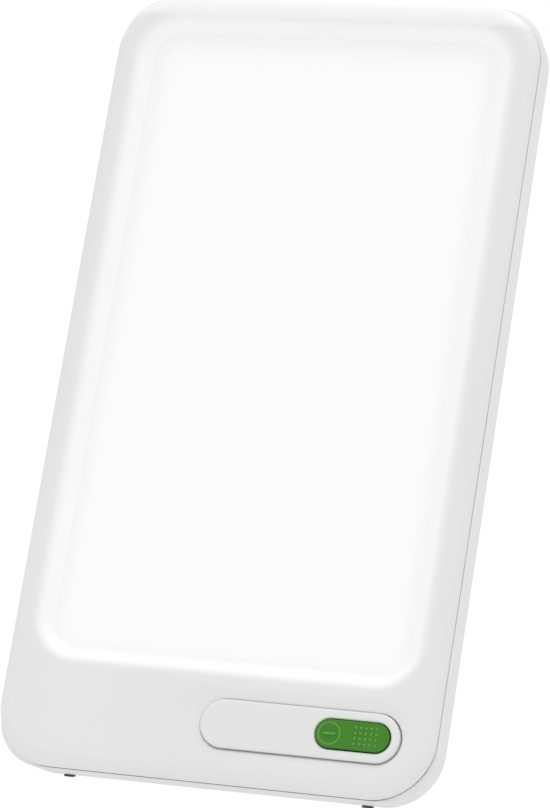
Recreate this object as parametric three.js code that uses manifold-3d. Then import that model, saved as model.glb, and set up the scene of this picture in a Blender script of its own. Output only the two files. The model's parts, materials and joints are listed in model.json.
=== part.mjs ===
// A tablet-shaped light therapy lamp on a fold-out stand, in millimetres, +Z up, standing on z = 0.
// It is modelled face on in the device frame, X right, Y up the face and Z out of the face, with the
// housing's parting plane at Z = 0, and the whole device is then leaned back onto its feet.

import * as THREE from 'three';
import { mergeVertices } from 'three/addons/utils/BufferGeometryUtils.js';
import Module from 'manifold-3d';

const wasm = await Module();
wasm.setup();

// Housing, front to back
const housingWidth = 186.7;
const housingHeight = 335;
const housingCorner = 23.3;
const frontDepth = 4.6;
const rearDepth = 15.5;
const frontFillet = 4;
const rearFillet = 2;
const wall = 2;
const seamGap = 0.3;
const tongueDepth = 1.8;
const tongueWall = 1.2;
const gap = 0.3;
const overrun = 1;
const leanAngle = 27.2;

// Window and its sloping border
const windowSideMargin = 17;
const windowTopMargin = 16.1;
const windowBottomMargin = 50.7;
const windowCorner = 12;
const slopeWidth = 7.6;
const lipDrop = 0.2;
const lipWall = 1.4;
const borderWall = 2;

// Optical stack behind the window
const diffuserWall = 2.4;
const diffuserFlangeWall = 1.1;
const diffuserFlange = 3.4;
const filmWall = 0.3;
const guideWall = 3;
const guideOverlap = 2.2;
const reflectorWall = 0.5;
const ledBoardWall = 1;
const ledChipDepth = 1;
const ledChipLength = 3;
const ledPitch = 9.6;
const ledEndMargin = 7;
const railWall = 1.2;
const railFoot = 4.5;

// Trim plate and the dished place around it
const plateLength = 84;
const plateHeight = 19.9;
const plateRightMargin = 14.2;
const plateBottomMargin = 14.1;
const plateWall = 3.2;
const plateProud = 0.4;
const plateEdge = 0.8;
const plateFloorWall = 1.8;
const dishDepth = 1.4;
const dishReach = 4.5;
const dishLeftReach = 17;
const pegRadius = 1.4;
const pegHead = 0.8;
const pegHeadWall = 0.6;

// Power button
const buttonLength = 30.8;
const buttonHeight = 11.6;
const buttonEndMargin = 4.1;
const buttonProud = 0.4;
const buttonGap = 0.45;
const buttonEdge = 0.5;
const buttonFlange = 1.3;
const buttonFlangeWall = 1;
const buttonTravel = 1.6;
const buttonSkin = 1.8;
const buttonPost = 2.4;
const dimpleRadius = 4.4;
const dimpleDepth = 0.5;
const ringWidth = 0.8;
const ringRise = 0.25;
const barLength = 5.6;
const barHeight = 1.2;
const dotPitch = 2.2;
const dotRadius = 0.6;
const dotRise = 0.35;
const dotGridFromEnd = 9.85;
const dotColumns = 5;
const dotRows = 4;

// Driver board and what it carries
const boardWall = 1.6;
const boardLength = 80.5;
const boardHeight = 24.5;
const boardRightMargin = 6.8;
const switchSide = 8.5;
const switchHeight = 3.7;
const plungerSide = 3;
const plungerInside = 2.8;
const inductorSide = 10;
const inductorHeight = 4;
const capacitorRadius = 3.2;
const capacitorHeight = 4.7;
const capacitorFromEnd = 4.6;
const capacitorRise = 4.5;
const chipLength = 8;
const chipWidth = 6;
const chipHeight = 1.6;
const chipFromEnd = 27;
const connectorLength = 5;
const connectorWidth = 14;
const connectorHeight = 4;
const connectorFromEnd = 3.8;
const partClearance = 0.5;
const boardScrewInset = 4;
const boardScrewFromEnd = 36;

// Supply socket in the left side
const socketRise = 27.5;
const socketSide = 9;
const socketLength = 12;
const socketBore = 3.25;
const socketBoreDepth = 9;
const socketPinRadius = 1;
const socketPinSetback = 2.2;
const socketHole = 4.2;
const cradleWall = 1.5;

// Wires
const wireRadius = 0.8;
const wirePitch = 3.2;
const ledLeadDrop = 6;

// Screws
const housingScrewRadius = 1.3;
const housingScrewHead = 2.6;
const housingScrewHeadWall = 1.7;
const housingScrewLength = 7.8;
const bossWall = 1;
const postWall = 1.3;
const bossShoulder = 3;
const bossTopDepth = 4;
const screwSideInset = 5.95;
const screwEndInset = 7.5;
const screwSideMargin = 33.35;
const screwSideY = -10;
const smallScrewRadius = 1;
const smallScrewHead = 2;
const smallScrewHeadWall = 1.2;
const smallScrewLength = 5;
const smallBossWall = 1.3;
const driveSlotWidth = 0.6;
const driveSlotDepth = 0.7;

// Feet
const footSideMargin = 29.15;
const footLength = 4.9;
const footRadius = 1.15;
const footSeat = 1.5;
const footClearance = 0.5;

// Fold-out stand
const legWidth = 66.4;
const legThickness = 5;
const legCorner = 12;
const legSkin = 1.8;
const legRib = 3.5;
const legSplay = 12;
const hingeY = 20;
const hingePinRadius = 1.5;
const hingePinGrip = 12;
const hingeBossLength = 6;
const hingeBossHeight = 10;
const retainerScrewRise = 6.7;
const heelReach = 5;
const heelWall = 1.3;
const heelWidth = 40;
const pocketWall = 1.8;
const pocketClearance = 1;
const pocketRoom = 0.4;
const washerWall = 0.4;
const washerRim = 0.9;
const retainerWall = 1.2;
const standFootHeight = 1.5;
const standFootLength = 40;
const standFootTongue = 2;
const standFootDepth = 4;
const scoopRadius = 10;
const scoopDepth = 5;

// Ribs and vents of the rear cover
const ribWall = 1.4;
const ribPitch = 42;
const ventLength = 14;
const ventWidth = 2;
const ventPitch = 5;
const ventColumns = 9;
const ventRowGap = 8;
const ventTopMargin = 34;

// Steps of round shapes
const cornerSteps = 7;
const slotSteps = 2;
const filletSteps = 4;
const slopeSteps = 6;
const roundSides = 16;
const screwSides = 10;
const wireSides = 6;
const wireSteps = 3;

const quarterTurn = Math.PI / 2;
const lean = THREE.MathUtils.degToRad(leanAngle);
const splay = THREE.MathUtils.degToRad(legSplay);
const openAngle = lean + splay;
const halfWidth = housingWidth / 2;
const halfHeight = housingHeight / 2;
const screwAcross = halfWidth - screwSideMargin;
const footAcross = halfWidth - footSideMargin;
const footSetback = rearDepth - footRadius;

// Places worked out from the sizes above
const windowHalf = halfWidth - windowSideMargin;
const windowTop = halfHeight - windowTopMargin;
const windowBottom = windowBottomMargin - halfHeight;

const lipFront = lipDrop;
const lipBack = lipFront - lipWall;
const diffuserFront = lipFront - gap;
const diffuserBack = diffuserFront - diffuserWall;
const flangeFront = diffuserBack + diffuserFlangeWall;
const filmFront = diffuserBack - gap;
const guideFront = filmFront - filmWall - gap;
const guideBack = guideFront - guideWall;
const reflectorFront = guideBack - gap;
const reflectorBack = reflectorFront - reflectorWall;
const supportTop = reflectorBack - gap;
const innerFloor = wall - rearDepth;

const guideHalf = windowHalf + guideOverlap;
const guideTop = windowTop + guideOverlap;
const guideBottom = windowBottom - guideOverlap;
const ledFace = guideHalf + gap;
const ledBoardInner = ledFace + ledChipDepth;
const railInner = ledBoardInner + ledBoardWall + gap;
const railOuter = railInner + railWall;
const ledTop = guideTop - ledEndMargin;
const ledBottom = guideBottom + ledEndMargin;

const plateX = halfWidth - plateRightMargin - plateLength / 2;
const plateY = plateBottomMargin + plateHeight / 2 - halfHeight;
const plateTopZ = frontDepth + plateProud;
const plateBackZ = plateTopZ - plateWall;
const plateSeatZ = plateBackZ - gap;
const plateFloorBackZ = plateSeatZ - plateFloorWall;
const buttonX = plateX + plateLength / 2 - buttonEndMargin - buttonLength / 2;
const buttonTopZ = plateTopZ + buttonProud;
const buttonFlangeTopZ = plateBackZ - gap;
const buttonBackZ = buttonFlangeTopZ - buttonFlangeWall;
const buttonLeftEnd = buttonX - buttonLength / 2 + buttonHeight / 2;

const boardBack = supportTop + gap;
const boardFront = boardBack + boardWall;
const boardRight = halfWidth - boardRightMargin;
const boardLeft = boardRight - boardLength;
const boardTop = plateY + boardHeight / 2;
const boardBottom = plateY - boardHeight / 2;
const onBoard = boardFront + gap;
const plungerTop = buttonBackZ - gap;

const socketY = socketRise - halfHeight;
const socketZ = -rearDepth / 2;
const socketFace = wall + gap - halfWidth;
const socketEnd = socketFace + socketLength;

const pocketFloor = supportTop - pocketWall;
const hingeZ = pocketFloor - pocketRoom - legThickness / 2;
const pocketHalf = legWidth / 2 + pocketClearance;
const tubHalf = pocketHalf + pocketWall;
const heelFace = pocketFloor - hingeZ - gap;
const hingeBossUp = [hingeY - hingeBossHeight / 2, hingeY + hingeBossHeight];
const retainerScrewY = hingeY + retainerScrewRise;
const retainerScrewZ = (innerFloor + supportTop) / 2;
const pocketTop = hingeY + Math.hypot(heelReach, heelFace) + pocketClearance;

// The ground plane: how far below the device's centre it lies, measured straight down
function heightOf(y, z) {
  return y * Math.cos(lean) + z * Math.sin(lean);
}

const rearLow = heightOf(rearFillet - halfHeight, rearFillet - rearDepth) - rearFillet;
const frontLow = heightOf(frontFillet - halfHeight, frontDepth - frontFillet) - frontFillet;
const groundLevel = Math.min(rearLow, frontLow) - footClearance;
const hingeHeight = heightOf(hingeY, hingeZ) - groundLevel;
const legReach = hingeHeight / Math.cos(splay);
const legEnd = legReach - standFootHeight + (legThickness / 2) * Math.tan(splay);
const pocketBottom = hingeY - legReach - (legThickness / 2) * Math.tan(splay) - pocketClearance;
const cutterSize = housingHeight;

// Solids

// A closed geometry as a solid, with its shared points merged, slivers dropped and faces pointing out
function solidOf(geometry) {
  const bare = geometry.clone();
  for (const name of Object.keys(bare.attributes)) {
    if (name !== 'position') {
      bare.deleteAttribute(name);
    }
  }
  const merged = mergeVertices(bare);
  const corners = merged.index.array;
  const points = merged.attributes.position;
  const kept = [];
  const at = (i) => new THREE.Vector3().fromBufferAttribute(points, i);
  let volume = 0;
  for (let i = 0; i < corners.length; i += 3) {
    const [a, b, c] = corners.slice(i, i + 3);
    if (a !== b && b !== c && c !== a) {
      kept.push(a, b, c);
      volume += at(a).dot(at(b).cross(at(c)));
    }
  }
  if (volume < 0) {
    kept.reverse();
  }
  const mesh = new wasm.Mesh({
    numProp: 3,
    vertProperties: new Float32Array(points.array),
    triVerts: new Uint32Array(kept),
  });
  return new wasm.Manifold(mesh);
}

function join(first, ...others) {
  return others.reduce((sum, other) => sum.add(other), first);
}

function cut(first, ...others) {
  return others.reduce((rest, other) => rest.subtract(other), first);
}

// The two limits of a size that lies evenly about a middle
function about(middle, size) {
  return [middle - size / 2, middle + size / 2];
}

// A box between two limits on each axis
function block([x0, x1], [y0, y1], [z0, z1]) {
  const geometry = new THREE.BoxGeometry(Math.abs(x1 - x0), Math.abs(y1 - y0), Math.abs(z1 - z0));
  geometry.translate((x0 + x1) / 2, (y0 + y1) / 2, (z0 + z1) / 2);
  return solidOf(geometry);
}

// A round bar along Z between z0 and z1
function rodZ(x, y, radius, z0, z1, sides = roundSides) {
  const geometry = new THREE.CylinderGeometry(radius, radius, Math.abs(z1 - z0), sides);
  geometry.rotateX(quarterTurn);
  geometry.translate(x, y, (z0 + z1) / 2);
  return solidOf(geometry);
}

// A round bar along X between x0 and x1
function rodX(y, z, radius, x0, x1, sides = roundSides) {
  const geometry = new THREE.CylinderGeometry(radius, radius, Math.abs(x1 - x0), sides);
  geometry.rotateZ(quarterTurn);
  geometry.translate((x0 + x1) / 2, y, z);
  return solidOf(geometry);
}

// A round bar along Y between y0 and y1
function rodY(x, z, radius, y0, y1, sides = roundSides) {
  const geometry = new THREE.CylinderGeometry(radius, radius, Math.abs(y1 - y0), sides);
  geometry.translate(x, (y0 + y1) / 2, z);
  return solidOf(geometry);
}

// One rounded rectangle of points at one level
function ring([x0, x1], [y0, y1], radius, z, steps = cornerSteps) {
  const r = Math.min(radius, (x1 - x0) / 2, (y1 - y0) / 2);
  const centres = [
    [x1 - r, y1 - r],
    [x0 + r, y1 - r],
    [x0 + r, y0 + r],
    [x1 - r, y0 + r],
  ];
  return centres.flatMap(([x, y], quarter) => {
    const arc = [];
    for (let i = 0; i <= steps; i += 1) {
      const turn = (quarter + i / steps) * quarterTurn;
      arc.push(new THREE.Vector3(x + r * Math.cos(turn), y + r * Math.sin(turn), z));
    }
    return arc;
  });
}

// The housing's outline drawn in by an inset
function outlineRing(inset, z) {
  const across = halfWidth - inset;
  const up = halfHeight - inset;
  return ring([-across, across], [-up, up], housingCorner - inset, z);
}

// The window's outline let out by an offset
function windowRing(offset, z) {
  const across = windowHalf + offset;
  return ring([-across, across], [windowBottom - offset, windowTop + offset], windowCorner + offset, z);
}

// A pill outline let out by an offset
function pillRing(x, y, length, height, offset, z) {
  const across = length / 2 + offset;
  const up = height / 2 + offset;
  return ring([x - across, x + across], [y - up, y + up], up, z);
}

// Skin through a row of rings, either capped at both ends or joined round to its start
function loft(rings, joined = false) {
  const count = rings[0].length;
  const faces = [];
  const spans = joined ? rings.length : rings.length - 1;
  for (let k = 0; k < spans; k += 1) {
    const a = k * count;
    const b = ((k + 1) % rings.length) * count;
    for (let i = 0; i < count; i += 1) {
      const j = (i + 1) % count;
      faces.push(a + i, a + j, b + j, a + i, b + j, b + i);
    }
  }
  if (!joined) {
    const top = (rings.length - 1) * count;
    for (let i = 1; i < count - 1; i += 1) {
      faces.push(0, i + 1, i, top, top + i, top + i + 1);
    }
  }
  const geometry = new THREE.BufferGeometry().setFromPoints(rings.flat());
  geometry.setIndex(faces);
  return solidOf(geometry);
}

// The trim plate's and the button's outlines let out by an offset, and straight blocks of them
function plateRing(offset, z) {
  return pillRing(plateX, plateY, plateLength, plateHeight, offset, z);
}

function buttonRing(offset, z) {
  return pillRing(buttonX, plateY, buttonLength, buttonHeight, offset, z);
}

function plateBlock(offset, z0, z1) {
  return loft([plateRing(offset, z0), plateRing(offset, z1)]);
}

function buttonBlock(offset, z0, z1) {
  return loft([buttonRing(offset, z0), buttonRing(offset, z1)]);
}

// Everything under the ground plane raised by a level, in a frame whose Y leans by an angle
function underGround(level, angle) {
  const geometry = new THREE.BoxGeometry(cutterSize, cutterSize, cutterSize);
  geometry.translate(0, level - cutterSize / 2, 0);
  geometry.rotateX(angle);
  return solidOf(geometry);
}

// A wire through a list of points
function wire(points) {
  const path = new THREE.CatmullRomCurve3(points.map(([x, y, z]) => new THREE.Vector3(x, y, z)));
  const section = new THREE.Shape();
  section.absarc(0, 0, wireRadius, 0, 4 * quarterTurn);
  return solidOf(new THREE.ExtrudeGeometry(section, {
    steps: wireSteps * points.length,
    curveSegments: wireSides / 2,
    bevelEnabled: false,
    extrudePath: path,
  }));
}

// A screw along Z with its head's underside at z = 0, its head towards +Z, and a cross in the head
function screw(radius, headRadius, headWall, length) {
  const profile = [
    [0, -length],
    [radius, -length + radius],
    [radius, 0],
    [headRadius, 0],
    [headRadius, headWall / 2],
    [headRadius - headWall / 2, headWall],
    [0, headWall],
  ];
  const body = new THREE.LatheGeometry(profile.map(([x, y]) => new THREE.Vector2(x, y)), screwSides);
  body.rotateX(quarterTurn);
  const arm = headRadius - headWall / 2;
  const deep = [headWall - driveSlotDepth, headWall + overrun];
  const slot = [-driveSlotWidth / 2, driveSlotWidth / 2];
  return cut(solidOf(body), block([-arm, arm], slot, deep), block(slot, [-arm, arm], deep));
}

// Finishes
const whiteShell = { color: 0xe6e6e6, roughness: 0.45, metalness: 0 };
const whiteTrim = { color: 0xe9e9e9, roughness: 0.35, metalness: 0 };
const opal = { color: 0xfbfbfb, roughness: 0.5, metalness: 0 };
const clearAcrylic = { color: 0xeef4f6, roughness: 0.1, metalness: 0 };
const whiteFilm = { color: 0xf4f4f4, roughness: 0.7, metalness: 0 };
const green = { color: 0x4b8632, roughness: 0.4, metalness: 0 };
const blackRubber = { color: 0x2a2a2a, roughness: 0.9, metalness: 0 };
const aluminium = { color: 0xb8bcc0, roughness: 0.4, metalness: 1 };
const steel = { color: 0x9fa3a6, roughness: 0.35, metalness: 1 };
const boardGreen = { color: 0x1f6b3a, roughness: 0.5, metalness: 0 };
const boardWhite = { color: 0xf0f0ea, roughness: 0.5, metalness: 0 };
const darkPart = { color: 0x1d1d1f, roughness: 0.5, metalness: 0 };
const redWire = { color: 0xa81e1e, roughness: 0.5, metalness: 0 };
const blackWire = { color: 0x1a1a1a, roughness: 0.5, metalness: 0 };
const whiteWire = { color: 0xdddddd, roughness: 0.5, metalness: 0 };

// Front bezel: fillet, flat band, sloping border and lip, with a locating tongue behind the seam
function bezelShell() {
  const seam = seamGap / 2;
  const tongueInset = wall + gap;
  const innerInset = tongueInset + tongueWall;
  const underBand = frontDepth - borderWall;
  const rings = [outlineRing(0, seam)];
  for (let i = 0; i <= filletSteps; i += 1) {
    const turn = (i / filletSteps) * quarterTurn;
    const inset = frontFillet * (1 - Math.cos(turn));
    rings.push(outlineRing(inset, frontDepth - frontFillet * (1 - Math.sin(turn))));
  }
  for (let i = 0; i <= slopeSteps; i += 1) {
    const share = i / slopeSteps;
    const drop = (frontDepth - lipFront) * (1 - Math.cos(Math.PI * share)) / 2;
    rings.push(windowRing(slopeWidth * (1 - share), frontDepth - drop));
  }
  rings.push(windowRing(0, lipBack));
  rings.push(windowRing(diffuserFlange + gap, lipBack));
  rings.push(windowRing(slopeWidth, underBand - lipWall));
  rings.push(windowRing(slopeWidth + borderWall / 2, underBand));
  rings.push(outlineRing(frontFillet + borderWall / 2, underBand));
  rings.push(outlineRing(innerInset, underBand - borderWall / 2));
  rings.push(outlineRing(innerInset, -tongueDepth));
  rings.push(outlineRing(tongueInset, -tongueDepth));
  rings.push(outlineRing(tongueInset, seam));
  return loft(rings, true);
}

// The shallow dished place that the trim plate lies in, as the space to cut away
function dishSpace() {
  const rings = [];
  const steps = slopeSteps;
  for (let i = 0; i <= steps; i += 1) {
    const share = i / steps;
    const spread = share * share;
    const out = gap + dishReach * spread;
    const left = gap + dishLeftReach * spread;
    const across = [plateX - plateLength / 2 - left, plateX + plateLength / 2 + out];
    const up = plateHeight / 2 + out;
    const z = frontDepth - dishDepth * (1 - share);
    rings.push(ring(across, [plateY - up, plateY + up], up, z));
  }
  const top = rings[rings.length - 1];
  rings.push(top.map((point) => point.clone().setZ(frontDepth + overrun)));
  return loft(rings);
}

const housingScrewPlaces = [
  [screwAcross, halfHeight - screwEndInset],
  [-screwAcross, halfHeight - screwEndInset],
  [halfWidth - screwSideInset, screwSideY],
  [screwSideInset - halfWidth, screwSideY],
  [screwAcross, screwEndInset - halfHeight],
  [-screwAcross, screwEndInset - halfHeight],
];
const boardScrewPlaces = [
  [boardLeft + boardScrewFromEnd, boardTop - boardScrewInset],
  [boardRight - boardScrewInset, boardBottom + boardScrewInset],
];
const pegPlaces = [
  plateX - plateLength / 2 + plateHeight / 2,
  buttonX - buttonLength / 2 - plateHeight / 2,
];
const bossTop = -bossTopDepth;
const bossSeat = bossTop - bossShoulder;
const screwHeadTop = bossSeat - gap;
const pilotRadius = housingScrewRadius + gap;

function frontBezel() {
  let body = bezelShell();
  const underBand = frontDepth - borderWall;
  body = join(
    body,
    plateBlock(wall, plateFloorBackZ, underBand + gap),
    rodZ(socketFace + socketLength / 2, socketY, wall, socketZ + socketSide / 2 + gap, underBand + gap),
  );
  for (const [x, y] of housingScrewPlaces) {
    body = join(body, rodZ(x, y, pilotRadius + postWall, bossTop + gap, underBand + gap));
    body = cut(body, rodZ(x, y, pilotRadius, bossTop - overrun, screwHeadTop + housingScrewLength + gap));
  }
  body = cut(
    body,
    dishSpace(),
    plateBlock(gap, plateSeatZ, frontDepth + overrun),
    buttonBlock(buttonFlange + gap, plateFloorBackZ - overrun, frontDepth),
  );
  for (const x of pegPlaces) {
    body = cut(body, rodZ(x, plateY, pegRadius + gap, plateFloorBackZ - overrun, frontDepth));
  }
  return body;
}

// A pill-shaped column at a foot's place, along the lamp's height: the pad itself, or wider as its seat
function footColumn(side, radius, bottom, top) {
  const across = about(side * footAcross, footLength - footRadius * 2);
  const middle = block(across, [bottom, top], about(-footSetback, radius * 2));
  return join(middle, ...across.map((end) => rodY(end, -footSetback, radius, bottom, top)));
}

// Rear cover: a tray with the stand's pocket, screw wells, ribs, vents and the socket's cradle
function coverShell() {
  const seam = -seamGap / 2;
  const rings = [];
  for (let i = 0; i <= filletSteps; i += 1) {
    const turn = (i / filletSteps) * quarterTurn;
    const inset = rearFillet * (1 - Math.sin(turn));
    rings.push(outlineRing(inset, rearFillet * (1 - Math.cos(turn)) - rearDepth));
  }
  rings.push(outlineRing(0, seam));
  rings.push(outlineRing(wall, seam));
  rings.push(outlineRing(wall, innerFloor + rearFillet - wall));
  rings.push(outlineRing(rearFillet, innerFloor));
  return loft(rings);
}

// The leg's pocket let out by an offset, between two levels
function pocketSpace(offset, z0, z1) {
  const across = [-pocketHalf - offset, pocketHalf + offset];
  const up = [pocketBottom - offset, pocketTop + offset];
  const corner = legCorner + pocketClearance + offset;
  const squareTop = block(across, [up[1] - corner * 2, up[1]], [z0, z1]);
  return join(loft([ring(across, up, corner, z0), ring(across, up, corner, z1)]), squareTop);
}

// Ribs that carry the optical stack and, lower, the rails
function stackRibs() {
  const ribs = [];
  const railSeat = supportTop - railWall - gap;
  const root = innerFloor - overrun;
  for (let y = ledBottom; y < ledTop; y += ribPitch) {
    const along = about(y, ribWall);
    const inPocket = y > pocketBottom && y < pocketTop + pocketWall;
    const start = inPocket ? tubHalf - overrun : 0;
    const middle = railOuter - railFoot - gap;
    for (const side of [1, -1]) {
      ribs.push(block([side * start, side * middle], along, [root, supportTop]));
      ribs.push(block([side * (middle - overrun), side * railOuter], along, [root, railSeat]));
    }
  }
  return ribs;
}

// Two rows of slots high on the back
function vents() {
  const slots = [];
  for (let row = 0; row < 2; row += 1) {
    const y = halfHeight - ventTopMargin - row * (ventLength + ventRowGap);
    for (let column = 0; column < ventColumns; column += 1) {
      const x = (column - (ventColumns - 1) / 2) * ventPitch;
      const across = about(x, ventWidth);
      const up = about(y, ventLength);
      const levels = [-rearDepth - overrun, innerFloor + gap];
      slots.push(loft(levels.map((z) => ring(across, up, ventWidth / 2, z, slotSteps))));
    }
  }
  return slots;
}

// The socket's cradle on the cover's floor
function socketCradle() {
  const inner = socketSide / 2 + gap;
  const outer = inner + cradleWall;
  const across = [socketFace + gap, socketEnd - gap];
  const seat = socketZ - inner;
  return [
    block(across, [socketY - outer, socketY + outer], [innerFloor - gap, seat]),
    block(across, [socketY + inner, socketY + outer], [innerFloor - gap, socketZ]),
    block(across, [socketY - outer, socketY - inner], [innerFloor - gap, socketZ]),
  ];
}

function rearCover() {
  const scoopLevel = scoopDepth - rearDepth;
  const wellRadius = housingScrewHead + gap;
  let body = join(
    coverShell(),
    ...stackRibs(),
    ...socketCradle(),
    pocketSpace(pocketWall, innerFloor - gap, supportTop),
    rodZ(0, pocketBottom, scoopRadius + pocketWall, innerFloor - gap, scoopLevel + pocketWall),
  );
  for (const [x, y] of housingScrewPlaces) {
    body = join(body, rodZ(x, y, wellRadius + bossWall, innerFloor - gap, bossTop));
  }
  for (const [x, y] of boardScrewPlaces) {
    const radius = smallScrewRadius + gap + smallBossWall;
    body = join(body, rodZ(x, y, radius, innerFloor - gap, boardBack - gap));
  }
  for (const side of [1, -1]) {
    const across = [side * pocketHalf, side * (tubHalf + hingeBossLength)];
    body = join(body, block(across, hingeBossUp, [innerFloor - gap, supportTop]));
  }
  const sideHole = [-halfWidth - overrun, wall + gap - halfWidth];
  const scoopSpace = rodZ(0, pocketBottom, scoopRadius, -rearDepth - overrun, scoopLevel);
  body = cut(body, pocketSpace(0, -rearDepth - overrun, pocketFloor), scoopSpace, ...vents());
  body = cut(body, rodX(socketY, socketZ, socketHole, ...sideHole));
  for (const [x, y] of housingScrewPlaces) {
    body = cut(
      body,
      rodZ(x, y, wellRadius, -rearDepth - overrun, bossSeat),
      rodZ(x, y, pilotRadius, -rearDepth, bossTop + overrun),
    );
  }
  for (const [x, y] of boardScrewPlaces) {
    body = cut(body, rodZ(x, y, smallScrewRadius + gap, innerFloor, boardBack));
  }
  for (const side of [1, -1]) {
    const through = [side * (pocketHalf - overrun), side * (tubHalf + hingeBossLength + overrun)];
    const outer = tubHalf + hingeBossLength;
    const pilot = [side * (outer - smallScrewLength), side * (outer + overrun)];
    body = cut(
      body,
      rodX(hingeY, hingeZ, hingePinRadius + gap, ...through),
      rodX(retainerScrewY, retainerScrewZ, smallScrewRadius + gap, ...pilot),
    );
  }
  for (const side of [1, -1]) {
    body = cut(body, footColumn(side, footRadius + gap, -halfHeight - overrun, footSeat - halfHeight));
  }
  return body;
}

// Diffuser: an opal sheet that fills the window, with a thinner flange behind the lip
function diffuserPanel() {
  return loft([
    windowRing(diffuserFlange, diffuserBack),
    windowRing(diffuserFlange, flangeFront),
    windowRing(-gap, flangeFront),
    windowRing(-gap, diffuserFront),
  ]);
}

function sheet(inset, z0, z1) {
  const across = guideHalf - inset;
  return block([-across, across], [guideBottom + inset, guideTop - inset], [z0, z1]);
}

// An LED strip: its board with a row of LED packages that face the guide's edge
function ledStrip(side) {
  const boardAcross = [side * ledBoardInner, side * (ledBoardInner + ledBoardWall)];
  let body = block(boardAcross, [ledBottom, ledTop], [filmFront, reflectorBack]);
  const across = [side * ledFace, side * (ledBoardInner + ledBoardWall / 2)];
  for (let y = ledBottom + ledPitch / 2; y < ledTop - ledChipLength; y += ledPitch) {
    body = join(body, block(across, about(y, ledChipLength), [guideFront, guideBack]));
  }
  return body;
}

// A rail: an aluminium angle behind the LED strip, with a foot under the edge of the stack
function ledRail(side) {
  const back = supportTop - railWall;
  return join(
    block([side * railInner, side * railOuter], [ledBottom, ledTop], [back, filmFront]),
    block([side * (railOuter - railFoot), side * railOuter], [ledBottom, ledTop], [back, supportTop]),
  );
}

// Trim plate: a rounded pill with the button's opening and two staked pegs
function switchPlate() {
  const edge = plateEdge;
  const halfRound = edge * (1 - Math.SQRT1_2);
  let body = loft([
    plateRing(0, plateBackZ),
    plateRing(0, plateTopZ - edge),
    plateRing(-halfRound, plateTopZ - halfRound),
    plateRing(-edge, plateTopZ),
  ]);
  for (const x of pegPlaces) {
    const headFront = plateFloorBackZ - gap;
    body = join(
      body,
      rodZ(x, plateY, pegRadius, headFront - pegHeadWall, plateBackZ + gap, screwSides),
      rodZ(x, plateY, pegRadius + pegHead, headFront - pegHeadWall, headFront, screwSides),
    );
  }
  const opening = loft([
    buttonRing(buttonGap, plateBackZ - overrun),
    buttonRing(buttonGap, plateTopZ - edge),
    buttonRing(buttonGap + edge, plateTopZ),
    buttonRing(buttonGap + edge, plateTopZ + overrun),
  ]);
  return cut(body, opening);
}

// Raised dots for grip at the button's right end
function gripDots() {
  const dots = [];
  const middle = buttonX + buttonLength / 2 - dotGridFromEnd;
  for (let row = 0; row < dotRows; row += 1) {
    for (let column = 0; column < dotColumns; column += 1) {
      const x = middle + (column - (dotColumns - 1) / 2) * dotPitch;
      const y = plateY + (row - (dotRows - 1) / 2) * dotPitch;
      const geometry = new THREE.CylinderGeometry(dotRadius / 2, dotRadius, dotRise + gap, 6);
      geometry.rotateX(quarterTurn);
      geometry.translate(x, y, buttonTopZ + (dotRise - gap) / 2);
      dots.push(solidOf(geometry));
    }
  }
  return dots;
}

// Power button: a hollow pill cap with a retaining flange, a dished end, its mark and the grip dots
function powerButton() {
  const edge = buttonEdge;
  const cap = loft([
    buttonRing(0, buttonBackZ),
    buttonRing(0, buttonTopZ - edge),
    buttonRing(-edge, buttonTopZ),
  ]);
  const flange = buttonBlock(buttonFlange, buttonBackZ, buttonFlangeTopZ);
  const hollow = buttonBlock(-buttonSkin, buttonBackZ - overrun, buttonTopZ - buttonSkin);
  const bowl = [
    [0, dimpleDepth],
    [dimpleRadius / 2, dimpleDepth * (3 / 4)],
    [dimpleRadius, 0],
    [dimpleRadius, -overrun],
    [0, -overrun],
  ];
  const dimple = new THREE.LatheGeometry(bowl.map(([x, y]) => new THREE.Vector2(x, -y)), roundSides);
  dimple.rotateX(quarterTurn);
  dimple.translate(buttonLeftEnd, plateY, buttonTopZ);
  const ringOut = dimpleRadius + ringWidth / 2;
  const ringIn = dimpleRadius - ringWidth / 2;
  const ringOuter = rodZ(buttonLeftEnd, plateY, ringOut, buttonTopZ - gap, buttonTopZ + ringRise);
  const ringInner = rodZ(buttonLeftEnd, plateY, ringIn, buttonTopZ - overrun, buttonTopZ + overrun);
  const barLevels = [buttonTopZ - dimpleDepth - gap, buttonTopZ + ringRise];
  const bar = block(about(buttonLeftEnd, barLength), about(plateY, barHeight), barLevels);
  const shell = cut(join(cap, flange), hollow);
  const post = rodZ(buttonX, plateY, buttonPost, buttonBackZ, buttonTopZ - buttonSkin + gap);
  return join(cut(join(shell, post), solidOf(dimple)), cut(ringOuter, ringInner), bar, ...gripDots());
}

// A glued rubber foot in its seat at the rear edge of the bottom wall, cut flat on the ground
function foot(side) {
  const pad = footColumn(side, footRadius, -halfHeight - footRadius * 2, footSeat - gap - halfHeight);
  return cut(pad, underGround(groundLevel, lean));
}

// Driver board with its two screw holes
function driverBoard() {
  let body = block([boardLeft, boardRight], [boardBottom, boardTop], [boardBack, boardFront]);
  for (const [x, y] of boardScrewPlaces) {
    const through = [boardBack - overrun, boardFront + overrun];
    body = cut(body, rodZ(x, y, smallScrewRadius + gap, ...through, screwSides));
  }
  return body;
}

// A block that stands on the board
function onBoardBlock(x, y, length, width, height) {
  return block(about(x, length), about(y, width), [onBoard, onBoard + height]);
}

function powerSwitch() {
  const side = plungerSide + gap * 2;
  const bottom = plungerTop - plungerInside - buttonTravel - gap;
  const well = block(about(buttonX, side), about(plateY, side), [bottom, buttonTopZ]);
  return cut(onBoardBlock(buttonX, plateY, switchSide, switchSide, switchHeight), well);
}

function switchPlunger() {
  const levels = [plungerTop - plungerInside, plungerTop];
  return block(about(buttonX, plungerSide), about(plateY, plungerSide), levels);
}

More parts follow.
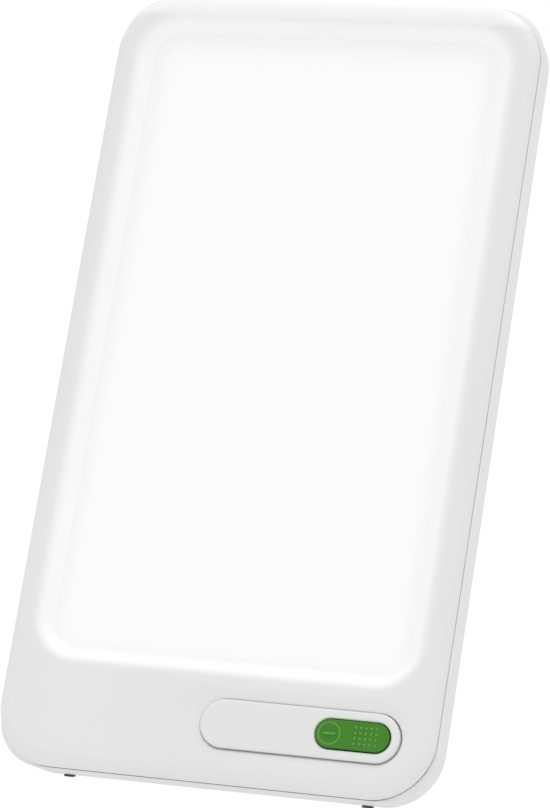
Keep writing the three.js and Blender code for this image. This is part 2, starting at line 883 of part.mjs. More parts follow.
function inductor() {
  const x = boardLeft + connectorFromEnd + connectorLength + partClearance + inductorSide / 2;
  const body = onBoardBlock(x, plateY, inductorSide, inductorSide, inductorHeight);
  const top = onBoard + inductorHeight;
  const groove = rodZ(x, plateY, inductorSide / 2 - gap, top - gap, top + overrun);
  const core = rodZ(x, plateY, inductorSide / 3, top - gap * 2, top);
  return join(cut(body, groove), core);
}

function capacitor() {
  const x = boardRight - capacitorFromEnd;
  const y = plateY + capacitorRise;
  const top = onBoard + capacitorHeight;
  const can = rodZ(x, y, capacitorRadius, onBoard, top);
  const deep = [top - gap, top + overrun];
  return cut(
    can,
    block(about(x, capacitorRadius), about(y, driveSlotWidth), deep),
    block(about(x, driveSlotWidth), about(y, capacitorRadius), deep),
  );
}

function driverChip() {
  return onBoardBlock(boardLeft + chipFromEnd, plateY, chipLength, chipWidth, chipHeight);
}

function leadConnector() {
  const x = boardLeft + connectorFromEnd + connectorLength / 2;
  return onBoardBlock(x, plateY, connectorLength, connectorWidth, connectorHeight);
}

// Supply socket: a block with a round bore that opens to the left side
function supplySocket() {
  const body = block([socketFace, socketEnd], about(socketY, socketSide), about(socketZ, socketSide));
  return cut(body, rodX(socketY, socketZ, socketBore, socketFace - overrun, socketFace + socketBoreDepth));
}

function socketPin() {
  const back = socketFace + socketBoreDepth - gap;
  return rodX(socketY, socketZ, socketPinRadius, socketFace + socketPinSetback, back, screwSides);
}

// Supply lead from the socket's back to the connector on the board
function supplyLead(side) {
  const y = side * wirePitch / 2;
  const end = boardLeft + connectorFromEnd - gap;
  const level = onBoard + connectorHeight / 2;
  const start = socketEnd + gap;
  const third = (end - start) / 3;
  return wire([
    [start, socketY + y, socketZ],
    [start + wirePitch, socketY + y, socketZ],
    [start + third, socketY + y, level],
    [end - third, plateY + y, level],
    [end - wirePitch, plateY + y, level],
    [end, plateY + y, level],
  ]);
}

// LED lead from the connector or the board's edge up to the lower end of one LED strip
function leftLedLead() {
  const x = -ledBoardInner - ledBoardWall / 2;
  const level = onBoard + connectorHeight / 2;
  const y = guideBottom - ledLeadDrop;
  const start = boardLeft + connectorFromEnd - gap;
  const startY = plateY + connectorWidth / 2 - wireRadius * 2;
  return wire([
    [start, startY, level],
    [start - wirePitch, startY, level],
    [start - wirePitch * 3, y, level],
    [x / 2, y, level],
    [x + wirePitch * 3, y, level],
    [x, y + wirePitch * 2, (guideFront + guideBack) / 2],
    [x, ledBottom - wirePitch, (guideFront + guideBack) / 2],
    [x, ledBottom - gap, (guideFront + guideBack) / 2],
  ]);
}

function rightLedLead() {
  const x = ledBoardInner + ledBoardWall / 2;
  const level = onBoard + wireRadius;
  const start = boardTop - wirePitch * 2;
  const middle = (guideFront + guideBack) / 2;
  return wire([
    [x - wirePitch * 2, start, level],
    [x - wirePitch * 2, start + wirePitch, level],
    [x - wirePitch, boardTop + wirePitch, level],
    [x, guideBottom, middle],
    [x, ledBottom - wirePitch, middle],
    [x, ledBottom - gap, middle],
  ]);
}

// Stand leg in its own frame: the pin's axis at the origin, the leg along -Y, +Z towards the housing
function standLeg() {
  const half = legThickness / 2;
  const across = [-legWidth / 2, legWidth / 2];
  const levels = [-half, half];
  const plate = loft(levels.map((z) => ring(across, [-legEnd, legCorner], legCorner, z)));
  const topCut = block([-legWidth, legWidth], [0, legWidth], [-legWidth, legWidth]);
  const barrel = rodX(0, 0, half, ...across);
  const heelOutline = new THREE.Shape([
    new THREE.Vector2(-heelWall, 0),
    new THREE.Vector2(heelReach, heelFace - heelWall),
    new THREE.Vector2(heelReach, heelFace),
    new THREE.Vector2(0, heelFace),
  ]);
  const heel = new THREE.ExtrudeGeometry(heelOutline, { depth: heelWidth, bevelEnabled: false });
  heel.translate(0, 0, -heelWidth / 2);
  heel.applyMatrix4(new THREE.Matrix4().makeBasis(
    new THREE.Vector3(0, 1, 0),
    new THREE.Vector3(0, 0, 1),
    new THREE.Vector3(1, 0, 0),
  ));
  heel.rotateX(-openAngle);
  let body = join(cut(plate, topCut), barrel, solidOf(heel));
  for (const side of [1, -1]) {
    const hollowWidth = (legWidth - legRib * 3) / 2;
    const hollowAcross = about(side * (legRib + hollowWidth) / 2, hollowWidth);
    const run = [legRib * 3 - legEnd, -hingePinRadius * 2 - legRib];
    const levels = [legSkin - half, half + overrun];
    body = cut(body, loft(levels.map((z) => ring(hollowAcross, run, legCorner - legRib, z))));
    const bore = [side * (legWidth / 2 - hingePinGrip), side * (legWidth / 2 + overrun)];
    body = cut(body, rodX(0, 0, hingePinRadius + gap, ...bore));
  }
  const slotUp = [-legEnd - overrun, standFootDepth + gap - legEnd];
  body = cut(body, block(about(0, standFootLength + gap * 2), slotUp, about(0, standFootTongue + gap * 2)));
  return cut(body, underGround(standFootHeight - hingeHeight, -splay));
}

// The leg's rubber foot: a bar cut flat on the ground, with a tongue up into the leg's slot
function standFoot() {
  const across = about(0, standFootLength);
  const up = [-legReach - legThickness, standFootDepth - legEnd];
  const bar = block(across, up, about(0, legThickness - gap * 2));
  const underLeg = bar.intersect(underGround(standFootHeight - gap - hingeHeight, -splay));
  const stem = block(across, up, about(0, standFootTongue));
  return cut(join(underLeg, stem), underGround(-hingeHeight, -splay));
}

function hingePin(side) {
  const inner = legWidth / 2 - hingePinGrip + gap;
  return rodX(hingeY, hingeZ, hingePinRadius, side * inner, side * (tubHalf + hingeBossLength), screwSides);
}

function frictionWasher(side) {
  const inner = hingePinRadius + gap;
  const x = (legWidth / 2 + pocketHalf) / 2;
  const across = [side * (x - washerWall / 2), side * (x + washerWall / 2)];
  const hole = [side * (x - overrun), side * (x + overrun)];
  return cut(rodX(hingeY, hingeZ, inner + washerRim, ...across), rodX(hingeY, hingeZ, inner, ...hole));
}

function pinRetainer(side) {
  const face = tubHalf + hingeBossLength + gap;
  const across = [side * face, side * (face + retainerWall)];
  const plate = block(across, hingeBossUp, [innerFloor + gap, supportTop]);
  const hole = [side * (face - overrun), side * (face + retainerWall + overrun)];
  return cut(plate, rodX(retainerScrewY, retainerScrewZ, smallScrewRadius + gap, ...hole));
}

function meshOf(name, solid, finish) {
  const { vertProperties, triVerts } = solid.getMesh();
  const geometry = new THREE.BufferGeometry();
  geometry.setAttribute('position', new THREE.BufferAttribute(new Float32Array(vertProperties), 3));
  geometry.setIndex(new THREE.BufferAttribute(new Uint32Array(triVerts), 1));
  geometry.computeVertexNormals();
  const mesh = new THREE.Mesh(geometry, new THREE.MeshStandardMaterial(finish));
  mesh.name = name;
  return mesh;
}

const device = new THREE.Group();

function place(name, solid, finish) {
  const mesh = meshOf(name, solid, finish);
  device.add(mesh);
  return mesh;
}

place('front_bezel', frontBezel(), whiteShell);
place('rear_cover', rearCover(), whiteShell);
place('diffuser_panel', diffuserPanel(), opal);
place('diffusing_film', sheet(gap, filmFront - filmWall, filmFront), whiteFilm);
place('light_guide', sheet(0, guideBack, guideFront), clearAcrylic);
place('reflector_sheet', sheet(gap, reflectorBack, reflectorFront), whiteFilm);
place('switch_plate', switchPlate(), whiteTrim);
place('power_button', powerButton(), green);
place('switch_plunger', switchPlunger(), whiteTrim);
place('power_switch', powerSwitch(), darkPart);
place('driver_board', driverBoard(), boardGreen);
place('inductor', inductor(), darkPart);
place('capacitor', capacitor(), aluminium);
place('driver_chip', driverChip(), darkPart);
place('lead_connector', leadConnector(), boardWhite);
place('supply_socket', supplySocket(), darkPart);
place('socket_pin', socketPin(), steel);
place('supply_lead_red', supplyLead(1), redWire);
place('supply_lead_black', supplyLead(-1), blackWire);
place('led_lead_left', leftLedLead(), whiteWire);
place('led_lead_right', rightLedLead(), whiteWire);

for (const [name, side] of [['left', -1], ['right', 1]]) {
  place(`led_strip_${name}`, ledStrip(side), boardWhite);
  place(`led_rail_${name}`, ledRail(side), aluminium);
  place(`foot_${name}`, foot(side), blackRubber);
  place(`hinge_pin_${name}`, hingePin(side), steel);
  place(`friction_washer_${name}`, frictionWasher(side), steel);
  place(`pin_retainer_${name}`, pinRetainer(side), steel);
  const retainerScrew = screw(smallScrewRadius, smallScrewHead, smallScrewHeadWall, smallScrewLength);
  const screwMesh = place(`retainer_screw_${name}`, retainerScrew, steel);
  const seat = tubHalf + hingeBossLength + retainerWall + gap * 2;
  screwMesh.position.set(side * seat, retainerScrewY, retainerScrewZ);
  screwMesh.rotation.y = side * quarterTurn;
}

housingScrewPlaces.forEach(([x, y], i) => {
  const body = screw(housingScrewRadius, housingScrewHead, housingScrewHeadWall, housingScrewLength);
  const mesh = place(`housing_screw_${i + 1}`, body, steel);
  mesh.position.set(x, y, screwHeadTop);
  mesh.rotation.y = quarterTurn * 2;
});

boardScrewPlaces.forEach(([x, y], i) => {
  const body = screw(smallScrewRadius, smallScrewHead, smallScrewHeadWall, smallScrewLength);
  const mesh = place(`board_screw_${i + 1}`, body, steel);
  mesh.position.set(x, y, boardFront + gap);
});

const stand = new THREE.Group();
stand.add(meshOf('stand_leg', standLeg(), whiteShell));
stand.add(meshOf('stand_foot', standFoot(), blackRubber));
stand.position.set(0, hingeY, hingeZ);
stand.rotation.x = openAngle;
device.add(stand);

// Leaned back, the feet and the leg's foot stand on z = 0, and the outline is centred on the origin
device.rotation.x = quarterTurn - lean;
device.position.z = -groundLevel;
const lamp = new THREE.Group();
lamp.add(device);
lamp.updateMatrixWorld(true);
const bounds = new THREE.Box3().setFromObject(lamp, true);
device.position.y = -(bounds.min.y + bounds.max.y) / 2;

export default lamp;
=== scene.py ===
import json
import math

import bmesh
import bpy
from mathutils import Matrix, Vector


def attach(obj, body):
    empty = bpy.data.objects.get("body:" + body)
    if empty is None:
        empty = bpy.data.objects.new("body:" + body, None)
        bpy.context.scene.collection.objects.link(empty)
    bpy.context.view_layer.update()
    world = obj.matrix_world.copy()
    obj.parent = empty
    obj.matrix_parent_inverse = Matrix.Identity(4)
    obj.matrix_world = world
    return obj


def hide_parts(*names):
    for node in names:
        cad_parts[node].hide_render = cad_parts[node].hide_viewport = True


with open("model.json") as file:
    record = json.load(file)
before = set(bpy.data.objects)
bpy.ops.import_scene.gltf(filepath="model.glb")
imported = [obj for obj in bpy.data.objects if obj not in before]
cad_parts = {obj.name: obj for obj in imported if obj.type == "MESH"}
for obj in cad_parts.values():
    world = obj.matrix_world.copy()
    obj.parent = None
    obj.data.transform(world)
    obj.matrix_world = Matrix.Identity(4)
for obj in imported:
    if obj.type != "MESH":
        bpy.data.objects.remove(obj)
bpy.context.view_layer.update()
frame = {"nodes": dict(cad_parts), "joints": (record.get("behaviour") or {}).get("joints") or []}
print("frame loaded,", len(frame["nodes"]), "nodes")

mm = 0.001
quarterTurn = math.pi / 2

# Sizes are in millimetres and match the solids. Everything is drawn face on, X to the right, Y up the face
# and Z out of it, with the parting plane at Z = 0 and the middle of the outline at the origin.
housing = {
    "width": 186.7, "height": 335.0, "corner": 23.3, "front": 4.6, "rear": 15.5,
    "frontFillet": 4.0, "rearFillet": 2.0, "wall": 2.0, "seam": 0.3, "seamEdge": 0.2,
    "shadowGap": 0.8, "shadowDeep": 1.4, "shadowEdge": 0.08, "frontCrown": 6.5,
    "frontCorner": 25.5, "rimCorner": 19.8, "rimSlope": 0.6, "lowSeam": 0.8, "highSeam": 0.45,
}
window = {"side": 17.0, "top": 16.1, "bottom": 50.7, "corner": 12.0, "slope": 7.6, "lip": 0.2, "lipWall": 1.4}
optics = {"panel": 2.4, "panelFlange": 1.1, "flange": 3.4, "film": 0.3, "guide": 3.0, "overlap": 2.2, "reflector": 0.5}
hinge = {"y": 20.0, "pin": 1.5, "grip": 12.0, "boss": 6.0, "bossHeight": 10.0, "retainer": 6.7, "plate": 1.2}
leg = {"width": 66.4, "thick": 5.0, "corner": 12.0, "skin": 1.8, "rib": 3.5, "edge": 0.8}
heel = {"reach": 5.0, "wall": 1.3, "width": 40.0}
standFoot = {"height": 1.5, "length": 40.0, "tongue": 2.0, "depth": 4.0}
pocket = {"wall": 1.8, "clearance": 1.0, "room": 0.4, "edge": 0.6}
gap = 0.3  # between faces that touch on the real lamp
over = 1.0  # how far a cutter or a joined shape reaches past the face

halfWidth = housing["width"] / 2
halfHeight = housing["height"] / 2
windowHalf = halfWidth - window["side"]
windowTop = halfHeight - window["top"]
windowBottom = window["bottom"] - halfHeight
lipBack = window["lip"] - window["lipWall"]
panelFront = window["lip"] - gap
panelBack = panelFront - optics["panel"]
filmFront = panelBack - gap
guideFront = filmFront - optics["film"] - gap
guideBack = guideFront - optics["guide"]
reflectorFront = guideBack - gap
stackBack = reflectorFront - optics["reflector"] - gap
innerFloor = housing["wall"] - housing["rear"]
guideHalf = windowHalf + optics["overlap"]
guideTop = windowTop + optics["overlap"]
guideBottom = windowBottom - optics["overlap"]
pocketFloor = stackBack - pocket["wall"]
hingeZ = pocketFloor - pocket["room"] - leg["thick"] / 2

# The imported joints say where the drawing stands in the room
joints = {joint["name"]: joint for joint in frame["joints"]}
faceOut = -Vector(joints["button_press"]["axis"]).normalized()
faceUp = Vector((0, faceOut.z, -faceOut.y))
hingePlace = Vector(joints["stand_fold"]["pos_m"])
openAngle = math.radians(joints["stand_fold"]["range_deg"][1])
lean = math.atan2(faceUp.y, faceUp.z)
sideways = Vector((1, 0, 0))
middle = hingePlace - (faceUp * hinge["y"] + faceOut * hingeZ) * mm
legUp = faceUp * math.cos(openAngle) + faceOut * math.sin(openAngle)
legOut = faceOut * math.cos(openAngle) - faceUp * math.sin(openAngle)


def standing(up, out, place):
    turned = Matrix((sideways, up, out)).transposed().to_4x4()
    return Matrix.Translation(place) @ turned @ Matrix.Scale(mm, 4)


onLamp = standing(faceUp, faceOut, middle)
onLeg = standing(legUp, legOut, hingePlace)


# Camera at the photograph's viewing angle, as fitted to the lamp's outline and parting line
photoView = {"azimuth": 20.2164, "elevation": 10.894, "distance": 1.6132, "lens": 175.42, "right": 0.0013,
             "up": -0.0086}

azimuth = math.radians(photoView["azimuth"])
elevation = math.radians(photoView["elevation"])
viewBack = Vector((
    math.sin(azimuth) * math.cos(elevation), -math.cos(azimuth) * math.cos(elevation), math.sin(elevation),
))
viewRight = Vector((math.cos(azimuth), math.sin(azimuth), 0))
viewUp = viewBack.cross(viewRight)
camera = bpy.data.objects.new("photoCamera", bpy.data.cameras.new("photoCamera"))
camera.data.lens = photoView["lens"]
camera.data.sensor_width = 36
camera.data.clip_start = 0.05
aim = middle + viewBack * photoView["distance"] + viewRight * photoView["right"] + viewUp * photoView["up"]
camera.matrix_world = Matrix.Translation(aim) @ Matrix((viewRight, viewUp, viewBack)).transposed().to_4x4()
bpy.context.scene.collection.objects.link(camera)
bpy.context.scene.camera = camera
bpy.context.scene.view_settings.view_transform = "Standard"
print("camera placed")


# Node trees

def linear(code):
    # an sRGB hex value as the linear colour that a shader reads
    values = [int(code[i:i + 2], 16) / 255 for i in (1, 3, 5)]
    return [v / 12.92 if v <= 0.04045 else ((v + 0.055) / 1.055) ** 2.4 for v in values] + [1]


def addNode(tree, kind, inputs=None, **settings):
    # a node with its settings; an input is a value, or the socket that feeds it
    made = tree.nodes.new(kind)
    for name, value in settings.items():
        setattr(made, name, value)
    for name, value in (inputs or {}).items():
        if isinstance(value, bpy.types.NodeSocket):
            tree.links.new(value, made.inputs[name])
        else:
            made.inputs[name].default_value = value
    return made


def emptied(holder):
    # the empty node tree of a material or world
    holder.use_nodes = True
    holder.node_tree.nodes.clear()
    return holder.node_tree


def finished(name, tree, inputs):
    # ends a material's tree in its shader
    shader = addNode(tree, "ShaderNodeBsdfPrincipled", inputs)
    addNode(tree, "ShaderNodeOutputMaterial", {"Surface": shader.outputs["BSDF"]})
    return bpy.data.materials[name]


def patterned(name):
    # a new material's tree, and in it the lamp's own millimetres, turned so that a pattern follows the leaning face
    tree = emptied(bpy.data.materials.new(name))
    place = addNode(tree, "ShaderNodeTexCoord")
    fitted = addNode(tree, "ShaderNodeMapping", {
        "Vector": place.outputs["Object"], "Rotation": (lean - quarterTurn, 0, 0), "Scale": (1 / mm, 1 / mm, 1 / mm),
    })
    return tree, fitted.outputs["Vector"]


def noise(tree, space, size, detail):
    return addNode(tree, "ShaderNodeTexNoise", {"Vector": space, "Scale": 1 / size, "Detail": detail}).outputs["Fac"]


def ramp(tree, share, *stops):
    # colours that follow a share, each from its own position on
    made = addNode(tree, "ShaderNodeValToRGB", {"Fac": share})
    for element, (position, colour) in zip(made.color_ramp.elements, stops):
        element.position = position
        element.color = linear(colour)
    return made.outputs["Color"]


def between(tree, share, low, high):
    return addNode(tree, "ShaderNodeMapRange", {"Value": share, "To Min": low, "To Max": high}).outputs["Result"]


def bumped(tree, height, strength, depth):
    inputs = {"Height": height, "Strength": strength, "Distance": depth * mm}
    return addNode(tree, "ShaderNodeBump", inputs).outputs["Normal"]


def stored(tree, name):
    # a number that marked() has put on the piece's points
    return addNode(tree, "ShaderNodeAttribute", attribute_name=name).outputs["Fac"]


# Moulded plastic: grain is the real size of the texture in the mould, cloud the slow change along the flow
def mouldedPlastic(name, colour, shade, grain, cloud, rough, relief, depth=0.01, ior=1.53, shine=0.5, **marks):
    tree, space = patterned(name)
    fine = noise(tree, space, grain, 3.0)
    surface = ramp(tree, noise(tree, space, cloud, 1.0), (0.3, shade), (0.7, colour))
    # painted shade: the colour darkens towards the seam colour where the seam mark is set
    if "seam" in marks:
        tones = {0: stored(tree, "seam"), 6: surface, 7: linear(marks["seam"])}
        surface = addNode(tree, "ShaderNodeMix", tones, data_type="RGBA").outputs[2]
    inputs = {
        "Base Color": surface, "Roughness": between(tree, fine, rough - 0.05, rough + 0.05),
        "Normal": bumped(tree, fine, relief, depth), "IOR": ior, "Specular IOR Level": shine,
    }
    # painted glow: emission where the glow mark is set
    if "glow" in marks:
        lit = addNode(tree, "ShaderNodeMath", {0: stored(tree, "glow"), 1: marks["glow"]}, operation="MULTIPLY")
        inputs.update({"Emission Color": linear("#ffffff"), "Emission Strength": lit.outputs[0]})
    return finished(name, tree, inputs)


# White ABS from a spark-eroded mould: an even white with a soft, wide sheen. The real grain is about 0.1 mm
# and is drawn six times as coarse, so that it shows at all. A painted shade greys the seam's inner faces along the
# bottom.
shell = {"colour": "#ebebeb", "shade": "#e9e9e9", "grain": 0.6, "cloud": 60, "rough": 0.46, "relief": 0.12,
         "depth": 0.02, "seam": "#8a8a8a"}
shellAbs = mouldedPlastic("sparkErodedWhiteAbs", **shell)
# The same white ABS where it frames the lit panel, with a painted glow on the thin sloping rim and on the band above
# the window
paintedGlowRimAbs = mouldedPlastic("sparkErodedWhiteAbsPaintedGlow", **shell, glow=0.15)
# White ABS from a lightly blasted mould: a little brighter and smoother than the shell around it
trimAbs = mouldedPlastic("satinWhiteAbs", "#e9e9e9", "#e7e7e7", grain=0.45, cloud=40, rough=0.29, relief=0.05)
# Leaf green ABS from the same mould finish, deep and even with little sheen
buttonAbs = mouldedPlastic(
    "satinGreenAbs", "#3e8518", "#3a8016", grain=0.4, cloud=12, rough=0.42, relief=0.08, shine=0.28,
)
# The same green painted paler on the raised dots, a painted highlight for the light they catch, with a smoother finish
dotAbs = mouldedPlastic(
    "paintedHighlightGreenAbs", "#5fa03f", "#599a3b", grain=0.4, cloud=8, rough=0.3, relief=0.04, shine=0.4,
)
# And a green between the two for the mark, with a weaker painted highlight and a finish between the two
markAbs = mouldedPlastic(
    "halfHighlightGreenAbs", "#5a9c3d", "#549638", grain=0.4, cloud=8, rough=0.34, relief=0.05, shine=0.35,
)
# Compression-moulded rubber: nearly black and dull, with a sandy face
footRubber = mouldedPlastic(
    "mouldedBlackRubber", "#474747", "#3e3e3e", grain=0.35, cloud=6, rough=0.78, relief=0.4, depth=0.05, ior=1.52,
)
# Black thermoplastic of bought parts: dark with a faint sheen
partPlastic = mouldedPlastic(
    "mouldedBlackPbt", "#242426", "#1f1f21", grain=0.3, cloud=5, rough=0.45, relief=0.15, depth=0.02, ior=1.55,
)
# Matt polyester film: milky and very even, with a fine tooth
sheetFilm = mouldedPlastic(
    "mattPolyesterFilm", "#f6f6f6", "#f3f3f3", grain=0.25, cloud=80, rough=0.6, relief=0.1, ior=1.6,
)
# White epoxy round each LED: a warm white, smooth and slightly glossy
ledEpoxy = mouldedPlastic(
    "whiteEpoxyPackage", "#ecebe4", "#e6e4dc", grain=0.2, cloud=3, rough=0.4, relief=0.05, ior=1.55,
)
# Phosphor in clear silicone: a warm yellow with fine grit in it
ledPhosphor = mouldedPlastic(
    "phosphorSilicone", "#e8d35a", "#dcc544", grain=0.1, cloud=1, rough=0.28, relief=0.1, ior=1.43,
)
# Wire insulation, extruded PVC: smooth with a soft shine
redPvc, blackPvc, whitePvc = [
    mouldedPlastic(name, colour, shade, grain=0.5, cloud=9, rough=0.4, relief=0.1, depth=0.02, ior=1.54)
    for name, colour, shade in (
        ("redPvcInsulation", "#b22222", "#a11c1c"), ("blackPvcInsulation", "#222222", "#1b1b1b"),
        ("whitePvcInsulation", "#dedede", "#d6d6d6"),
    )
]


# Opal acrylic lit from behind: an even near-white that falls off a little where the frame shades the light
# guide, and a matt face that hides the lamps behind it
def litOpalAcrylic(name):
    look = {"glow": 0.475, "edgeGlow": 0.415, "fade": 11.0, "grain": 0.5}
    tree, space = patterned(name)
    fine = noise(tree, space, look["grain"], 2.0)
    glow = addNode(tree, "ShaderNodeMapRange", {
        "Value": stored(tree, "inset"), "From Max": look["fade"], "To Min": look["edgeGlow"], "To Max": look["glow"],
    }, interpolation_type="SMOOTHSTEP")
    return finished(name, tree, {
        "Base Color": linear("#c4c4c4"), "IOR": 1.49, "Emission Color": linear("#f4f4f4"),
        "Emission Strength": glow.outputs["Result"], "Roughness": between(tree, fine, 0.42, 0.52),
        "Normal": bumped(tree, fine, 0.05, 0.01),
    })


# Polished clear acrylic with rows of printed dots on its back, which turn the light out of the sheet
def printedGuide(name):
    tree, space = patterned(name)
    dots = addNode(
        tree, "ShaderNodeTexVoronoi", {"Vector": space, "Scale": 1 / 1.5, "Randomness": 0.0},
        feature="F1", distance="EUCLIDEAN",
    ).outputs["Distance"]
    return finished(name, tree, {
        "Base Color": ramp(tree, dots, (0.28, "#ffffff"), (0.34, "#e6eff2")), "IOR": 1.49,
        "Transmission Weight": 0.9, "Roughness": 0.06, "Normal": bumped(tree, dots, 0.2, 0.03),
    })


# Metals: streak is the spacing of the marks that drawing, turning or extruding leaves, along one axis
def workedMetal(name, colour, shade, streak, bloom, rough, stretch):
    tree, space = patterned(name)
    drawn = addNode(tree, "ShaderNodeMapping", {"Vector": space, "Scale": stretch})
    marks = noise(tree, drawn.outputs["Vector"], streak, 4.0)
    return finished(name, tree, {
        "Base Color": ramp(tree, noise(tree, space, bloom, 2.0), (0.35, shade), (0.65, colour)), "Metallic": 1.0,
        "Roughness": between(tree, marks, rough - 0.08, rough + 0.08), "Normal": bumped(tree, marks, 0.25, 0.02),
    })


# Lacquered glass-cloth board: solder mask with copper tracks showing through as a paler tone
def lacqueredBoard(name, mask, track):
    tree, space = patterned(name)
    lines = addNode(tree, "ShaderNodeTexBrick", {
        "Vector": space, "Color1": linear(mask), "Color2": linear(mask), "Mortar": linear(track),
        "Scale": 1.0, "Mortar Size": 0.22, "Mortar Smooth": 0.2, "Brick Width": 9.0, "Row Height": 2.4,
    })
    weave = addNode(tree, "ShaderNodeTexChecker", {"Vector": space, "Scale": 1 / 0.5})
    return finished(name, tree, {
        "Base Color": lines.outputs["Color"], "Normal": bumped(tree, weave.outputs["Fac"], 0.1, 0.02),
        "Roughness": 0.32, "Coat Weight": 0.4,
    })


panelAcrylic = litOpalAcrylic("litOpalAcrylic")
guideAcrylic = printedGuide("polishedPrintedAcrylic")
# Bright zinc on steel: cool grey with cloudy patches
zincSteel = workedMetal("zincPlatedSteel", "#c3c7cb", "#aeb3b8", streak=0.4, bloom=1.5, rough=0.3, stretch=(1, 1, 1))
# Extruded aluminium: fine lines run along the rail
railAluminium = workedMetal(
    "extrudedAluminium", "#c9ccd0", "#bdc0c4", streak=0.3, bloom=8, rough=0.38, stretch=(1, 0.03, 1),
)
# The driver's board is green, and the LED strips' boards are white to throw the light forwards
greenBoard = lacqueredBoard("greenSolderMask", "#1d6639", "#2f8450")
whiteBoard = lacqueredBoard("whiteSolderMask", "#efefe9", "#e2e0d6")
print("finishes mixed")


# Shapes

cornerSteps = 20


def shares(steps):
    # evenly spaced, from nothing to one
    return [i / steps for i in range(steps + 1)]


def arc(steps):
    # a quarter round as shares: how far out each step is, and how far down it still lies from the top
    return [(1 - math.cos(share * quarterTurn), 1 - math.sin(share * quarterTurn)) for share in shares(steps)]


def ring(xs, ys, radius, z, steps=cornerSteps):
    # a rounded rectangle at one level; radius is one number, or four from the upper right round to the left
    radii = radius if isinstance(radius, tuple) else (radius,) * 4
    limit = min(xs[1] - xs[0], ys[1] - ys[0]) / 2
    ends = ((xs[1], ys[1], -1, -1), (xs[0], ys[1], 1, -1), (xs[0], ys[0], 1, 1), (xs[1], ys[0], -1, 1))
    points = []
    for quarter, (x, y, inX, inY) in enumerate(ends):
        r = min(radii[quarter], limit)
        for i in range(steps + 1):
            turn = (quarter + i / steps) * quarterTurn
            points.append(Vector((x + inX * r + r * math.cos(turn), y + inY * r + r * math.sin(turn), z)))
    return points


def circle(x, y, radius, z, steps=12):
    return ring((x - radius, x + radius), (y - radius, y + radius), radius, z, steps)


def outline(inset, z, corner=housing["corner"]):
    across, up = halfWidth - inset, halfHeight - inset
    return ring((-across, across), (-up, up), corner - inset, z)


def opening(offset, z):
    across = windowHalf + offset
    return ring((-across, across), (windowBottom - offset, windowTop + offset), window["corner"] + offset, z)


def about(place, size):
    return (place - size / 2, place + size / 2)


def skin(rings, joined=False):
    # a closed mesh through a row of rings, capped at both ends or joined round to its start
    bm = bmesh.new()
    rows = [[bm.verts.new(point) for point in points] for points in rings]
    for k in range(len(rows) if joined else len(rows) - 1):
        near, far = rows[k], rows[(k + 1) % len(rows)]
        for i in range(len(near)):
            j = (i + 1) % len(near)
            bm.faces.new((near[i], near[j], far[j], far[i]))
    if not joined:
        bm.faces.new(rows[0])
        bm.faces.new(rows[-1])
    bmesh.ops.remove_doubles(bm, verts=bm.verts, dist=1e-4)
    bmesh.ops.recalc_face_normals(bm, faces=bm.faces)
    return made(bm)


def made(bm):
    mesh = bpy.data.meshes.new("shape")
    bm.to_mesh(mesh)
    bm.free()
    piece = bpy.data.objects.new("shape", mesh)
    bpy.context.scene.collection.objects.link(piece)
    return piece


def block(xs, ys, zs, edge=0.0):
    # a box between limits; its upright edges are rounded where edge is given
    return skin([ring(sorted(xs), sorted(ys), edge, z, 4 if edge else 1) for z in sorted(zs)])


def turned(profile, steps=12):
    # a solid of revolution round Z; a radius of nearly nothing closes it at a pole
    return skin([circle(0, 0, max(radius, 1e-5), z, steps) for radius, z in profile])


def moved(piece, place=(0, 0, 0), axis="Z"):
    # lays a piece's own Z along another axis and sets it at a place
    turns = {"Z": Matrix.Identity(4), "X": Matrix.Rotation(quarterTurn, 4, "Y"),
             "Y": Matrix.Rotation(-quarterTurn, 4, "X"), "-X": Matrix.Rotation(-quarterTurn, 4, "Y")}
    piece.data.transform(Matrix.Translation(place) @ turns[axis])
    return piece


def rod(x, y, radius, zs, steps=12):
    return skin([circle(x, y, radius, z, steps) for z in sorted(zs)])


def crossRod(y, z, radius, span):
    # a round bar along X
    return moved(rod(0, 0, radius, span), (0, y, z), "X")


def settle(piece):
    # turns the modifiers' result into the piece's own mesh
    bpy.context.view_layer.update()
    result = bpy.data.meshes.new_from_object(piece.evaluated_get(bpy.context.evaluated_depsgraph_get()))
    piece.modifiers.clear()
    piece.data = result
    return piece


def worked(piece, tools, operation):
    group = bpy.data.collections.new("tools")
    bpy.context.scene.collection.children.link(group)
    for tool in tools:
        group.objects.link(tool)
    step = piece.modifiers.new("step", "BOOLEAN")
    step.operand_type = "COLLECTION"
    step.collection = group
    step.operation = operation
    step.solver = "EXACT"
    settle(piece)
    for tool in tools:
        bpy.data.objects.remove(tool)
    bpy.data.collections.remove(group)
    return piece


def cut(piece, *tools):
    return worked(piece, tools, "DIFFERENCE")


def join(piece, *others):
    return worked(piece, others, "UNION")


def softened(piece, angle=32):
    # smooth shading that stays crisp at real edges and flat on flat faces
    piece.data.shade_smooth()
    piece.data.set_sharp_from_angle(angle=math.radians(angle))
    weigh = piece.modifiers.new("weigh", "WEIGHTED_NORMAL")
    weigh.keep_sharp = True
    return settle(piece)


def reworked(piece, work):
    # runs a change on a piece's mesh, and turns its faces outwards
    bm = bmesh.new()
    bm.from_mesh(piece.data)
    work(bm)
    bmesh.ops.recalc_face_normals(bm, faces=bm.faces)
    bm.to_mesh(piece.data)
    bm.free()
    return piece


def outwards(piece):
    return reworked(piece, lambda bm: None)


def marked(piece, name, valueOf):
    # stores a number at each point for the piece's material to read
    values = piece.data.attributes.new(name, "FLOAT", "POINT")
    for point, value in zip(piece.data.vertices, values.data):
        value.value = valueOf(point.co)
    return piece


def stood(piece, name, material, slot, *nodes, body="housing", place=onLamp):
    # sets a drawn piece into the room in metres and hands it to the frame
    piece.data.transform(place)
    piece.name = piece.data.name = name
    piece.data.materials.clear()
    piece.data.materials.append(material)
    for face in piece.data.polygons:
        face.material_index = 0
    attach(piece, body)
    if nodes:
        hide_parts(*nodes)
    return piece


